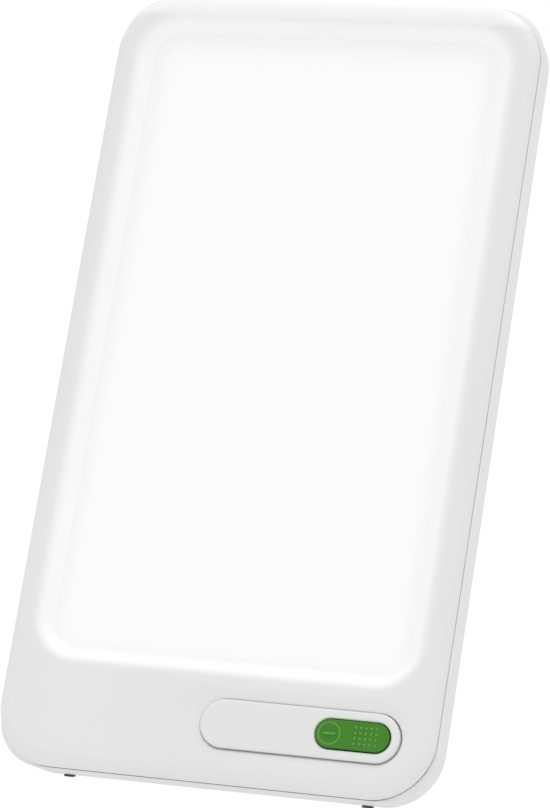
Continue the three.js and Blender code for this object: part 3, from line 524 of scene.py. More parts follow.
def rounded(ringOf, edge, z, deep=None, steps=5):
    # rings over a quarter-round edge: outwards to inwards as the level rises to z
    return [ringOf(-edge * out, z - (deep or edge) * down) for out, down in arc(steps)]


def lowerEdge(ringOf, edge, z, steps=5):
    # the rounded() edge turned over, for the underside
    return [ringOf(-edge * down, z + edge * out) for out, down in arc(steps)]


def flared(ringOf, z0, z1, edge, steps=5):
    # a cutter from an inner level z1 out to the back's plane z0, widening at the mouth to leave a round edge
    mouth = [ringOf(edge * out, z0 + edge * down) for out, down in arc(steps)]
    return skin([ringOf(0, z1), *mouth, ringOf(edge, z0 - over)])


def centred(across, up, offset, corner, z, steps):
    # a rounded rectangle about the origin, grown on all sides by an offset
    return ring(about(0, across + 2 * offset), about(0, up + 2 * offset), corner, z, steps)


def pill(x, y, length, height, offset, z, steps=cornerSteps):
    across, up = length / 2 + offset, height / 2 + offset
    return ring((x - across, x + across), (y - up, y + up), up, z, steps)


def easing(low, high, value):
    share = min(max((value - low) / (high - low), 0), 1)
    return share * share * (3 - 2 * share)


def beyond(point, across, ys, corner):
    # how far a point lies outside a rounded rectangle, or less than nothing inside it
    x = abs(point.x) - across + corner
    y = abs(point.y - sum(ys) / 2) - (ys[1] - ys[0]) / 2 + corner
    return math.hypot(max(x, 0), max(y, 0)) + min(max(x, y), 0) - corner


def pastFront(point):
    return beyond(point, halfWidth, (-halfHeight, halfHeight), housing["frontCorner"])


def fromWindow(point):
    return beyond(point, windowHalf, (windowBottom, windowTop), window["corner"])


# Geometry Nodes

def newTree(name, inputs):
    # a tree with named inputs, each given as a first number or as the kind of thing that it takes
    tree = bpy.data.node_groups.new(name, "GeometryNodeTree")
    tree.interface.new_socket("Geometry", in_out="INPUT", socket_type="NodeSocketGeometry")
    for label, first in inputs.items():
        kind = {int: "Int", float: "Float"}.get(type(first), first)
        socketIn = tree.interface.new_socket(label, in_out="INPUT", socket_type="NodeSocket" + kind)
        if kind != first:
            socketIn.default_value = first
    tree.interface.new_socket("Geometry", in_out="OUTPUT", socket_type="NodeSocketGeometry")
    return tree, addNode(tree, "NodeGroupInput").outputs


def spread(tree, points, shape, **inputs):
    # an instance of the shape at each point; a shape that is an object is read first
    if shape.type == "OBJECT":
        shape = addNode(tree, "GeometryNodeObjectInfo", {"Object": shape, "As Instance": True}).outputs["Geometry"]
    inputs.update(Points=points, Instance=shape)
    return addNode(tree, "GeometryNodeInstanceOnPoints", inputs).outputs["Instances"]


def gridOf(tree, given, *pitches):
    # points on a grid, at one pitch across and one up
    sizes = []
    for count, pitch in zip(("Columns", "Rows"), pitches):
        steps = addNode(tree, "ShaderNodeMath", {0: given[count], 1: 1.0}, operation="SUBTRACT")
        sizes.append(addNode(tree, "ShaderNodeMath", {0: steps.outputs[0], 1: given[pitch]}, operation="MULTIPLY"))
    return addNode(tree, "GeometryNodeMeshGrid", {
        "Size X": sizes[0].outputs[0], "Size Y": sizes[1].outputs[0],
        "Vertices X": given["Columns"], "Vertices Y": given["Rows"],
    }).outputs["Mesh"]


def welded(tree, mesh):
    return addNode(tree, "GeometryNodeMergeByDistance", {"Geometry": mesh, "Distance": 1e-4}).outputs["Geometry"]


def endTree(tree, shape, material):
    # every tree ends in real geometry with its finish on it
    real = addNode(tree, "GeometryNodeRealizeInstances", {"Geometry": shape})
    painted = addNode(tree, "GeometryNodeSetMaterial", {"Geometry": real.outputs["Geometry"], "Material": material})
    addNode(tree, "NodeGroupOutput", {"Geometry": painted.outputs["Geometry"]})
    return tree


def grown(tree, values, base=None):
    # runs a tree on a base shape with the given inputs and keeps the result as a plain mesh
    piece = base or made(bmesh.new())
    step = piece.modifiers.new("grow", "NODES")
    step.node_group = tree
    labels = {item.name: item.identifier for item in tree.interface.items_tree if item.in_out == "INPUT"}
    for name, value in values.items():
        step[labels[name]] = value
    return settle(piece)


# Trim plate, its dished surround and the button
plate = {"length": 84.0, "height": 19.9, "right": 14.2, "bottom": 14.1, "wall": 3.2, "proud": 0.4, "edge": 1.6,
         "edgeDeep": 0.9, "floor": 1.8}
dish = {"depth": 1.4, "reach": 4.5, "left": 17.0, "edge": 0.25, "gap": 0.5, "aside": Vector((0.2, -0.26, 0))}
peg = {"radius": 1.4, "head": 0.8, "headWall": 0.6}
button = {"length": 30.8, "height": 11.6, "end": 4.1, "proud": 0.4, "gap": 0.45, "edge": 0.5, "flange": 1.3,
          "flangeWall": 1.0, "skin": 1.8, "post": 2.4}

plateX = halfWidth - plate["right"] - plate["length"] / 2
plateY = plate["bottom"] + plate["height"] / 2 - halfHeight
plateTop = housing["front"] + plate["proud"]
plateBack = plateTop - plate["wall"]
plateSeat = plateBack - gap
buttonX = plateX + plate["length"] / 2 - button["end"] - button["length"] / 2
buttonTop = plateTop + button["proud"]
buttonBack = plateSeat - button["flangeWall"]
buttonEnd = buttonX - button["length"] / 2 + button["height"] / 2
pegPlaces = (plateX - plate["length"] / 2 + plate["height"] / 2, buttonX - button["length"] / 2 - plate["height"] / 2)

# Screw places of the housing, and the socket in the left side
boss = {"pilot": 1.6, "top": -4.0, "seat": -7.0, "head": -7.3, "well": 2.9, "mouth": 0.4, "wall": 1.0,
        "postWall": 1.3, "deep": 8.1, "across": 60, "end": 7.5, "side": 5.95, "level": -10}
screwPlaces = [(side * x, y) for x, y in (
    (boss["across"], halfHeight - boss["end"]), (halfWidth - boss["side"], boss["level"]),
    (boss["across"], boss["end"] - halfHeight),
) for side in (1, -1)]
socket = {"y": 27.5 - halfHeight, "z": -housing["rear"] / 2, "side": 9.0, "length": 12.0, "bore": 3.25, "deep": 9.0,
          "pin": 1.0, "pinBack": 2.2, "hole": 4.2, "mouth": 0.5, "cradle": 1.5, "post": 2.0}
socketFace = housing["wall"] + gap - halfWidth
socketMiddle = socketFace + socket["length"] / 2


def plateRing(offset, z):
    return pill(plateX, plateY, plate["length"], plate["height"], offset, z)


def buttonRing(offset, z):
    return pill(buttonX, plateY, button["length"], button["height"], offset, z)


# Where the rim's painted glow lies: a strength, and where it starts and ends, as distances from the window
paintedRimGlow = {"near": (0.85, 3.6, 9.0), "far": (0.15, 6.0, 12.0), "above": (0.7, 5.5, 9.5)}
# Where the low seam fades out, across and up, and which depths and levels belong to its inner faces
lowFade = {"across": (25, 10), "up": 8, "depths": (0.07, 2.6), "levels": (-1.9, 0.2)}


def paintedGlowAt(point):
    # how much glow is painted on the rim and on the band above the window
    away = fromWindow(point)
    strength, low, high = paintedRimGlow["above"]
    top = strength * easing(windowTop + low, windowTop + high, point.y)
    near, far = [share * (1 - easing(low, high, away)) for share, low, high in (paintedRimGlow["near"], paintedRimGlow["far"])]
    return near + far + top


def lowShare(point):
    # one along the straight part of the bottom edge, fading to nothing at its corners
    across = easing(*[halfWidth - inset for inset in lowFade["across"]], abs(point.x))
    return (1 - easing(-halfHeight, lowFade["up"] - halfHeight, point.y)) * (1 - across)


def paintedSeamShade(point):
    # the seam's inner faces along the bottom, where shade is painted into the colour
    (near, far), (low, high) = lowFade["depths"], lowFade["levels"]
    return lowShare(point) if near < -pastFront(point) < far and low < point.z < high else 0


shellWall = {"skin": 2.0, "tongue": 1.2, "tongueEnd": -1.8, "land": 1.4, "bed": 2.0, "brow": (1.8, 0.9)}


def dishHollow():
    # the dished place round the plate, deepest at the plate and drawn out far to its left
    rings = []
    for share in shares(14):
        out, left = [gap + dish[reach] * (share * share) for reach in ("reach", "left")]
        up = plate["height"] / 2 + out
        xs = (plateX - plate["length"] / 2 - left, plateX + plate["length"] / 2 + out)
        rings.append(ring(xs, (plateY - up, plateY + up), up, housing["front"] - dish["depth"] * (1 - share)))
    rings.append([Vector((p.x, p.y, housing["front"] + over)) for p in rings[-1]])
    return skin(rings)


def plateHole():
    # the plate's hole, set aside a little at the front, so that its gap is wider below and on the right
    front, depth, edge = housing["front"], dish["depth"], dish["edge"]
    rings = [plateRing(gap, plateSeat), plateRing(gap, plateSeat + 1)]
    for wide, low in ((0, depth + 0.8), (0, depth + edge), (edge, depth - 0.1), (edge, -over)):
        rings.append([point + dish["aside"] for point in plateRing(dish["gap"] + wide, front - low)])
    return skin(rings)


def bezel():
    seam, edge = housing["seam"] / 2, housing["seamEdge"]
    front, fillet, crown = housing["front"], housing["frontFillet"], housing["frontCrown"]
    slope, under = window["slope"], housing["front"] - shellWall["skin"]
    tongueOut = housing["wall"] + gap
    tongueIn = tongueOut + shellWall["tongue"]

    def face(inset, z):
        return outline(inset, z, housing["frontCorner"])

    rings = [face(tongueOut, seam)]
    rings += [face(edge * down, seam + edge * out) for out, down in arc(5)]
    rings += [face(crown * out, front - fillet * down) for out, down in arc(12)]
    rings += [opening(slope + beside, front) for beside in shellWall["brow"]]
    for share in shares(20):
        drop = (front - window["lip"]) * (1 - math.cos(math.pi * share)) / 2
        rings.append(opening(slope * (1 - share), front - drop))
    rings += [opening(0, lipBack), opening(optics["flange"] + gap, lipBack), opening(slope, under - shellWall["land"])]
    rings += [opening(slope + 1, under), face(fillet + 1, under), face(tongueIn, under - 1)]
    rings += [face(tongueIn, shellWall["tongueEnd"]), face(tongueOut, shellWall["tongueEnd"])]
    shell = skin(rings, joined=True)
    posts = [rod(socketMiddle, socket["y"], socket["post"], (socket["z"] + socket["side"] / 2 + gap, under + gap))]
    posts += [rod(x, y, boss["pilot"] + boss["postWall"], (boss["top"] + gap, under + gap)) for x, y in screwPlaces]
    bed = skin([plateRing(shellWall["bed"], z) for z in (plateSeat - plate["floor"], under + gap)])
    join(shell, bed, *posts)
    pilot = (boss["top"] - over, boss["head"] + boss["deep"])
    cut(shell, *[rod(x, y, boss["pilot"], pilot) for x, y in screwPlaces])
    cut(shell, dishHollow())
    through = (plateSeat - plate["floor"] - over, front)
    pegHoles = [rod(x, plateY, peg["radius"] + gap, through) for x in pegPlaces]
    cut(shell, plateHole(), skin([buttonRing(button["flange"] + gap, z) for z in through]), *pegHoles)
    # the rim gets its painted glow and the seam's inner faces their painted shade
    return marked(marked(softened(shell), "glow", paintedGlowAt), "seam", paintedSeamShade)


def trimPlate():
    edge = plate["edgeDeep"]
    body = skin([plateRing(0, plateBack), *rounded(plateRing, plate["edge"], plateTop, edge, steps=8)])
    head = plateSeat - plate["floor"] - gap
    pegs = []
    for x in pegPlaces:
        pegs.append(rod(x, plateY, peg["radius"], (head - peg["headWall"] / 2, plateBack + gap)))
        pegs.append(rod(x, plateY, peg["radius"] + peg["head"], (head - peg["headWall"], head)))
    join(body, *pegs)
    well = [buttonRing(button["gap"] + edge * out, plateTop - edge * down) for out, down in arc(6)]
    cut(body, skin([
        buttonRing(button["gap"], plateBack - over), *well, buttonRing(button["gap"] + edge, plateTop + over),
    ]))
    return softened(body)


mark = {"dimple": 4.4, "depth": 0.5, "ring": 0.8, "rise": 0.25, "bar": 5.6, "barHeight": 1.2, "bevel": 0.2}


def buttonCap():
    body = skin([buttonRing(0, buttonBack), *rounded(buttonRing, button["edge"], buttonTop, steps=6)])
    join(body, skin([buttonRing(button["flange"], z) for z in (buttonBack, plateSeat)]))
    cut(body, skin([buttonRing(-button["skin"], z) for z in (buttonBack - over, buttonTop - button["skin"])]))
    join(body, rod(buttonX, plateY, button["post"], (buttonBack, buttonTop - button["skin"] + gap)))
    bowl = [(mark["dimple"] * share, -mark["depth"] * (1 - share * share)) for share in shares(8)]
    cut(body, moved(turned([*bowl, (mark["dimple"], over)], 10), (buttonEnd, plateY, buttonTop)))
    return softened(body)


def buttonMark():
    # a ring on the dish's rim and a bar across its middle
    half, rise, bevel = mark["ring"] / 2, mark["rise"], mark["bevel"]
    turns = [share * 4 * quarterTurn for share in shares(12)[:-1]]
    band = [circle(0, 0, mark["dimple"] + half * math.cos(turn), rise * math.sin(turn), 10) for turn in turns]
    levels = ((0, -mark["depth"] - gap), (0, rise - bevel), (-bevel, rise))
    bar = skin([pill(0, 0, mark["bar"], mark["barHeight"], offset, z, 5) for offset, z in levels])
    place = (buttonEnd, plateY, buttonTop)
    return softened(join(moved(skin(band, joined=True), place), moved(bar, place)))


stood(bezel(), "bezelMoulding", paintedGlowRimAbs, "white_shell", "front_bezel")
stood(trimPlate(), "trimPlateMoulding", trimAbs, "white_trim", "switch_plate")
stood(buttonCap(), "buttonCapMoulding", buttonAbs, "green_button", "power_button", body="button")
stood(buttonMark(), "buttonMark", markAbs, "green_button", body="button")
print("bezel, trim plate and button made")


# Grip dots: domes on a grid at the button's right end
grip = {"Columns": 5, "Rows": 4, "Pitch": 2.2, "Radius": 0.6, "Rise": 0.35}
gripFromEnd = 9.85


def dotTree():
    tree, given = newTree("gripDots", grip)
    ball = addNode(tree, "GeometryNodeMeshUVSphere", {"Segments": 14, "Rings": 10, "Radius": 1.0})
    smooth = addNode(tree, "GeometryNodeSetShadeSmooth", {"Geometry": ball.outputs["Mesh"]})
    size = addNode(tree, "ShaderNodeCombineXYZ", {"X": given["Radius"], "Y": given["Radius"], "Z": given["Rise"]})
    grid = gridOf(tree, given, "Pitch", "Pitch")
    return endTree(tree, spread(tree, grid, smooth.outputs["Geometry"], Scale=size.outputs["Vector"]), dotAbs)


dots = moved(grown(dotTree(), grip), (buttonX + button["length"] / 2 - gripFromEnd, plateY, buttonTop))
stood(dots, "buttonGripDots", dotAbs, "green_button", body="button")
print("grip dots grown")


# Optical sheets behind the panel: each is a rounded sheet cut to size
sheets = {
    "diffusingFilm": ("diffusing_film", gap, filmFront, optics["film"], sheetFilm, "white_film"),
    "lightGuideSheet": ("light_guide", 0, guideFront, optics["guide"], guideAcrylic, "clear_acrylic"),
    "reflectorSheet": ("reflector_sheet", gap, reflectorFront, optics["reflector"], sheetFilm, "white_film"),
}


def sheetTree():
    sizes = {"Width": 100.0, "Height": 100.0, "Corner": 1.0, "Wall": 1.0}
    tree, given = newTree("opticalSheet", {**sizes, "Finish": "Material"})
    edge = addNode(tree, "GeometryNodeCurvePrimitiveQuadrilateral", {
        "Width": given["Width"], "Height": given["Height"],
    })
    cornered = addNode(tree, "GeometryNodeFilletCurve", {
        "Curve": edge.outputs["Curve"], "Radius": given["Corner"], "Count": 6, "Limit Radius": True,
    }, mode="POLY")
    face = addNode(tree, "GeometryNodeFillCurve", {"Curve": cornered.outputs["Curve"]}, mode="NGONS")
    deep = addNode(tree, "ShaderNodeMath", {0: given["Wall"], 1: -1.0}, operation="MULTIPLY")
    thick = addNode(tree, "GeometryNodeExtrudeMesh", {
        "Mesh": face.outputs["Mesh"], "Offset": (0, 0, 1), "Offset Scale": deep.outputs[0], "Individual": False,
    })
    both = addNode(tree, "GeometryNodeJoinGeometry")
    for side in (face, thick):
        tree.links.new(side.outputs["Mesh"], both.inputs[0])
    return endTree(tree, welded(tree, both.outputs["Geometry"]), given["Finish"])


sheetShape = sheetTree()
for name, (node, inset, level, wallOf, material, slot) in sheets.items():
    sheet = grown(sheetShape, {
        "Width": 2 * (guideHalf - inset), "Height": guideTop - guideBottom - 2 * inset, "Corner": 1.0,
        "Wall": wallOf, "Finish": material,
    })
    moved(outwards(sheet), (0, (guideTop + guideBottom) / 2, level))
    stood(softened(sheet), name, material, slot, node)
print("optical sheets cut")


def insetAt(point):
    # how far inside the window, with the lower edge counted brighter, because the border there throws light back
    return 5 * (1 - easing(windowBottom, windowBottom + 25, point.y)) - fromWindow(point)


def diffuserPanel():
    # an opal sheet that fills the window, with a thinner flange behind the lip and a rounded front edge; the
    # steps inwards from its edge carry the fall of the light
    flangeFront = panelBack + optics["panelFlange"]
    edge, room, inwards = 0.25, 0.05, (1, 2, 3, 4.5, 6, 8, 10, 11.4)
    rings = [opening(optics["flange"], panelBack), opening(optics["flange"], flangeFront), opening(-room, flangeFront)]
    rings += rounded(lambda offset, z: opening(offset - room, z), edge, panelFront, steps=4)
    rings += [opening(-room - step, panelFront) for step in inwards]
    return marked(softened(skin(rings)), "inset", insetAt)


stood(diffuserPanel(), "opalPanelSheet", panelAcrylic, "opal_panel", "diffuser_panel")


# Rear cover
rib = {"wall": 1.4, "pitch": 42.0}
rail = {"wall": 1.2, "foot": 4.5}
vent = {"length": 14.0, "width": 2.0, "top": 34.0, "edge": 0.35}
ventRows = {"Columns": 9, "Rows": 2, "Pitch": 5.0, "Row Pitch": 22.0}
scoop = {"radius": 10.0, "depth": 5.0, "edge": 1.2, "round": 2.5}
foot = {"side": 29.15, "length": 4.9, "radius": 1.15, "seat": 1.5}
smallBoss = {"pilot": 1.3, "wall": 1.3, "deep": 5}
board = {"length": 80.5, "height": 24.5, "right": 6.8, "wall": 1.6, "screwIn": 4.0, "screwAcross": 36.0}
led = {"pitch": 9.6, "length": 3.0, "depth": 1.0, "board": 1.0, "count": 27, "fromEnd": 7.0, "cup": 0.4}

pocketHalf = leg["width"] / 2 + pocket["clearance"]
tubHalf = pocketHalf + pocket["wall"]
heelFace = pocketFloor - hingeZ - gap
splay = openAngle - lean
legReach = hingePlace.z / mm / math.cos(splay)
legEnd = legReach - standFoot["height"] + leg["thick"] / 2 * math.tan(splay)
pocketBottom = hinge["y"] - legReach - leg["thick"] / 2 * math.tan(splay) - pocket["clearance"]
pocketTop = hinge["y"] + math.hypot(heel["reach"], heelFace) + pocket["clearance"]
hingeBossUp = (hinge["y"] - hinge["bossHeight"] / 2, hinge["y"] + hinge["bossHeight"])
retainerY = hinge["y"] + hinge["retainer"]
retainerZ = (innerFloor + stackBack) / 2
footAcross = halfWidth - foot["side"]
railOuter = guideHalf + gap + led["depth"] + led["board"] + gap + rail["wall"]
ledTop = guideTop - led["fromEnd"]
ledBottom = guideBottom + led["fromEnd"]
boardBack = stackBack + gap
boardFront = boardBack + board["wall"]
boardRight = halfWidth - board["right"]
boardLeft = boardRight - board["length"]
boardTop = plateY + board["height"] / 2
onBoard = boardFront + gap
boardScrews = [
    (boardLeft + board["screwAcross"], boardTop - board["screwIn"]),
    (boardRight - board["screwIn"], plateY - board["height"] / 2 + board["screwIn"]),
]


def footColumn(side, offset, ys):
    # an upright pill about a foot's place, flush with the back, from and to along Y
    column = skin([pill(0, 0, foot["length"], foot["radius"] * 2, offset, y, 10) for y in ys])
    return moved(column, (side * footAcross, 0, foot["radius"] - housing["rear"]), "Y")


def pocketRing(offset, z):
    corner = leg["corner"] + pocket["clearance"] + offset
    top = 0.4 + offset
    return ring(
        (-pocketHalf - offset, pocketHalf + offset), (pocketBottom - offset, pocketTop + offset),
        (top, top, corner, corner), z,
    )


def ventTree():
    # slots on a grid, as the shapes to cut out
    tree, given = newTree("ventSlots", {**ventRows, "Slot": "Object"})
    return endTree(tree, spread(tree, gridOf(tree, given, "Pitch", "Row Pitch"), given["Slot"]), shellAbs)


def ventSlots():
    slot = flared(
        lambda offset, z: pill(0, 0, vent["width"], vent["length"], offset, z, 5), -housing["rear"],
        innerFloor + gap, vent["edge"], 3,
    )
    slots = grown(ventTree(), {**ventRows, "Slot": slot})
    bpy.data.objects.remove(slot)
    return moved(slots, (0, halfHeight - vent["top"] - ventRows["Row Pitch"] / 2, 0))


def coverShell():
    # skinned from the back's rounded edge to the rim, over the seam's recess, and back inside. The seam is wider
    # along the bottom and narrower at the top, and at the corners the rim stands out beyond the bezel and slopes.
    back, fillet, wall = -housing["rear"], housing["rearFillet"], housing["wall"]
    seam, edge, corner = -housing["seam"] / 2, housing["shadowEdge"], housing["frontCorner"]
    shoulder = seam - housing["shadowGap"]
    rim = [outline(edge * out, shoulder - edge * down, housing["rimCorner"]) for out, down in arc(5)]
    rim += [outline(0.09, shoulder, corner - 0.3), outline(0.1, shoulder, corner)]
    topEnd = [halfHeight - inset for inset in (28, 4)]
    for point in [point for points in rim for point in points]:
        high = easing(*topEnd, point.y)
        slope = housing["rimSlope"] * max(pastFront(point), 0)
        point.z += housing["highSeam"] * high - housing["lowSeam"] * lowShare(point) - slope
    return skin([
        *[outline(fillet * down, fillet * out + back) for out, down in arc(12)], *rim,
        outline(housing["shadowDeep"], shoulder - housing["lowSeam"]), outline(housing["shadowDeep"], seam),
        outline(wall, seam), outline(wall, innerFloor + fillet - wall), outline(fillet, innerFloor),
    ])


def coverInside(root, bowlTop):
    # ribs under the optical stack, the socket's cradle, hinge bosses, the pocket's tub and the screw bosses
    parts = []
    middleX = railOuter - rail["foot"] - gap
    y = ledBottom
    while y < ledTop:
        if pocketBottom < y < pocketTop + pocket["wall"]:
            spans = [(side * (tubHalf - over), side * middleX) for side in (1, -1)]
        else:
            spans = [(-middleX, middleX)]
        parts += [block(xs, about(y, rib["wall"]), (root, stackBack)) for xs in spans]
        for side in (1, -1):
            xs = (side * (middleX - over), side * railOuter)
            parts.append(block(xs, about(y, rib["wall"]), (root, stackBack - rail["wall"] - gap)))
        y += rib["pitch"]
    inner = socket["side"] / 2 + gap
    outer = inner + socket["cradle"]
    cradle = (socketFace + gap, socketFace + socket["length"] - gap)
    parts.append(block(cradle, (socket["y"] - outer, socket["y"] + outer), (root, socket["z"] - inner)))
    for side in (1, -1):
        parts.append(block(cradle, (socket["y"] + side * inner, socket["y"] + side * outer), (root, socket["z"])))
        across = (side * pocketHalf, side * (tubHalf + hinge["boss"]))
        parts.append(block(across, hingeBossUp, (root, stackBack)))
    parts.append(skin([pocketRing(pocket["wall"], z) for z in (root, stackBack)]))
    parts.append(rod(0, pocketBottom, scoop["radius"] + pocket["wall"], (root, bowlTop + pocket["wall"]), 16))
    parts += [rod(x, y, boss["well"] + boss["wall"], (root, boss["top"])) for x, y in screwPlaces]
    parts += [rod(x, y, smallBoss["pilot"] + smallBoss["wall"], (root, boardBack - gap)) for x, y in boardScrews]
    return parts


def fingerScoop(bowlTop):
    back, edge = -housing["rear"], scoop["edge"]
    sizes = [(scoop["radius"] - scoop["round"] * down, bowlTop - scoop["round"] * out) for out, down in arc(6)]
    sizes += [(scoop["radius"] + edge * out, back + edge * down) for out, down in arc(6)]
    sizes.append((scoop["radius"] + edge, back - over))
    return skin([circle(0, pocketBottom, radius, z, 20) for radius, z in sizes])


def rearCover():
    back = -housing["rear"]
    bowlTop = back + scoop["depth"]
    cover = join(coverShell(), *coverInside(innerFloor - gap, bowlTop))
    cut(cover, flared(pocketRing, back, pocketFloor, pocket["edge"]))
    cut(cover, fingerScoop(bowlTop), ventSlots())
    cut(cover, *[
        flared(lambda offset, z, x=x, y=y: circle(x, y, boss["well"] + offset, z), back, boss["seat"], boss["mouth"])
        for x, y in screwPlaces
    ])
    tools = [rod(x, y, boss["pilot"], (back, boss["top"] + over)) for x, y in screwPlaces]
    tools += [rod(x, y, smallBoss["pilot"], (innerFloor, boardBack)) for x, y in boardScrews]
    hole = flared(lambda offset, z: circle(0, 0, socket["hole"] + offset, z), 0, housing["wall"] + gap, socket["mouth"])
    tools.append(moved(hole, (-halfWidth, socket["y"], socket["z"]), "X"))
    reach = tubHalf + hinge["boss"]
    for side in (1, -1):
        starts = (pocketHalf - over, reach - smallBoss["deep"])
        pinSpan, screwSpan = [(side * start, side * (reach + over)) for start in starts]
        tools.append(crossRod(hinge["y"], hingeZ, hinge["pin"] + gap, pinSpan))
        tools.append(crossRod(retainerY, retainerZ, smallBoss["pilot"], screwSpan))
        tools.append(footColumn(side, gap, (-halfHeight - over, foot["seat"] - halfHeight)))
    cut(cover, *tools)
    # the seam's inner faces get their painted shade
    return marked(softened(cover), "seam", paintedSeamShade)


stood(rearCover(), "rearCoverMoulding", shellAbs, "white_shell", "rear_cover")
print("rear cover made")


# Stand leg: drawn with the pin at the origin, the leg along -Y and Z towards the housing

def clipped(piece, level, keepAbove=True):
    # cuts a piece that already stands in the room flat at a height, and closes the cut
    def work(bm):
        cutting = bmesh.ops.bisect_plane(
            bm, geom=[*bm.verts, *bm.edges, *bm.faces], plane_co=(0, 0, level * mm), plane_no=(0, 0, 1), dist=1e-7,
            clear_inner=keepAbove, clear_outer=not keepAbove,
        )
        rim = [item for item in cutting["geom_cut"] if isinstance(item, bmesh.types.BMEdge)]
        bmesh.ops.edgenet_fill(bm, edges=rim)

    return reworked(piece, work)


def standLeg():
    half, edge, width = leg["thick"] / 2, leg["edge"], leg["width"]

    def slab(offset, z):
        across, corner = width / 2 + offset, leg["corner"] + offset
        return ring((-across, across), (-legEnd - offset, leg["corner"]), (0.1, 0.1, corner, corner), z)

    body = skin([*lowerEdge(slab, edge, -half), *rounded(slab, edge, half)])
    cut(body, block((-width, width), (0, width), (-width, width)))
    barrel = [(half - edge, -width / 2), (half, -width / 2 + edge), (half, width / 2 - edge), (half - edge, width / 2)]
    reach, toe = heel["reach"], heelFace - heel["wall"]
    toes = [Vector((0, y, z)) for y, z in ((-heel["wall"], 0), (reach, toe), (reach, heelFace), (0, heelFace))]
    lay = Matrix.Rotation(-openAngle, 4, "X")
    wedge = skin([[lay @ (p + sideways * x) for p in toes] for x in about(0, heel["width"])])
    join(body, moved(turned(barrel), axis="X"), wedge)
    tools = []
    for side in (1, -1):
        across = (width - leg["rib"] * 3) / 2
        xs = about(side * (leg["rib"] + across) / 2, across)
        ys = (leg["rib"] * 3 - legEnd, -hinge["pin"] * 2 - leg["rib"])
        tools.append(flared(
            lambda offset, z, xs=xs, ys=ys: [Vector((p.x, p.y, -p.z)) for p in ring(
                (xs[0] - offset, xs[1] + offset), (ys[0] - offset, ys[1] + offset),
                leg["corner"] - leg["rib"] + offset, z)],
            -half, half - leg["skin"], 0.5,
        ))
        bore = (side * (width / 2 - hinge["grip"]), side * (width / 2 + over))
        tools.append(crossRod(0, 0, hinge["pin"] + gap, bore))
    slotUp = (-legEnd - over, standFoot["depth"] + gap - legEnd)
    tools.append(block(about(0, standFoot["length"] + 2 * gap), slotUp, about(0, standFoot["tongue"] + 2 * gap)))
    cut(body, *tools)
    return softened(body)


legPiece = stood(standLeg(), "standLegMoulding", shellAbs, "white_shell", "stand_leg", body="stand", place=onLeg)
clipped(legPiece, standFoot["height"])

tread = (-legReach - leg["thick"], standFoot["depth"] - legEnd)
footBar = block(about(0, standFoot["length"]), tread, about(0, leg["thick"] - 2 * gap), 0.8)
stood(footBar, "standFootPad", footRubber, "black_rubber", "stand_foot", body="stand", place=onLeg)
clipped(footBar, standFoot["height"] - gap, keepAbove=False)
softened(clipped(footBar, 0))
print("stand made")


# Front feet: rubber pads glued into seats at the rear edge of the bottom wall, flat on the table
for name, side in (("left", -1), ("right", 1)):
    pad = footColumn(side, 0, (-halfHeight - foot["radius"] * 2, foot["seat"] - gap - halfHeight))
    stood(pad, name + "FootPad", footRubber, "black_rubber", "foot_" + name)
    softened(clipped(pad, 0))
print("feet made")


# Screws: a helical thread, a domed head and a cross for the driver
housingScrew = {"shank": 1.3, "head": 2.6, "cap": 1.7, "length": 7.8, "pitch": 1.1, "slot": 0.6, "deep": 0.7}
smallScrew = {"shank": 1.0, "head": 2.0, "cap": 1.2, "length": 5.0, "pitch": 0.8, "slot": 0.6, "deep": 0.7}
# Shares of a screw's own sizes: the shank's tip, the thread's root, rise and flank, the head's rim and dome, and
# the cross at its foot
screwShares = {"tip": 0.3, "root": 0.78, "rise": 0.22, "flank": (0.4, 0.95), "rim": 0.35, "dome": 0.65,
               "footLength": 0.9, "footWidth": 0.7}


def driveScrew(look):
    # along Z with the head's underside at the origin and the head towards +Z
    length, cap, head, of = look["length"], look["cap"], look["head"], screwShares
    rings = [circle(0, 0, 1e-5, -length, 6)]
    for share in shares(round(length / look["pitch"] * 7)):
        level = length * (share - 1)
        taper = min(1, of["tip"] + (level + length) / look["shank"] / 2)
        row = []
        for point in circle(0, 0, 1, level, 6):
            turn = math.atan2(point.y, point.x) / (4 * quarterTurn)
            crest = easing(*of["flank"], abs(2 * ((level / look["pitch"] - turn) % 1) - 1))
            reach = taper * look["shank"] * (of["root"] + of["rise"] * crest)
            row.append(Vector((point.x * reach, point.y * reach, level)))
        rings.append(row)
    rings.append(circle(0, 0, head, 0, 6))
    for share in shares(6):
        turn = share * quarterTurn
        level = cap * (of["rim"] + of["dome"] * math.sin(turn))
        rings.append(circle(0, 0, max(head * math.cos(turn), 1e-5), level, 6))
    body = skin(rings)
    arms = []
    for turn in (0, quarterTurn):
        arms.append(skin([
            ring(about(0, head * of["footLength"]), about(0, look["slot"] * of["footWidth"]), 0.02,
                 cap - look["deep"], 1),
            ring(about(0, head * 1.5), about(0, look["slot"]), 0.02, cap + gap, 1),
        ]))
        arms[-1].data.transform(Matrix.Rotation(turn, 4, "Z"))
    return cut(body, *arms)


def screwTree():
    # one screw at each point, each turned by chance as the driver left it
    tree, given = newTree("screwSet", {"Shape": "Object", "Seed": 4, "Finish": "Material"})
    chance = addNode(
        tree, "FunctionNodeRandomValue", {2: 0.0, 3: 4 * quarterTurn, "Seed": given["Seed"]}, data_type="FLOAT",
    )
    turn = addNode(tree, "ShaderNodeCombineXYZ", {"Z": chance.outputs[1]})
    turned = addNode(tree, "FunctionNodeEulerToRotation", {"Euler": turn.outputs["Vector"]})
    screws = spread(tree, given["Geometry"], given["Shape"], Rotation=turned.outputs["Rotation"])
    return endTree(tree, screws, given["Finish"])


def route(places, joined=True):
    # a line through places, or the places alone, as the base of a tree
    bm = bmesh.new()
    points = [bm.verts.new(place) for place in places]
    for k in range(len(points) - 1 if joined else 0):
        bm.edges.new((points[k], points[k + 1]))
    return made(bm)


screwShape = screwTree()


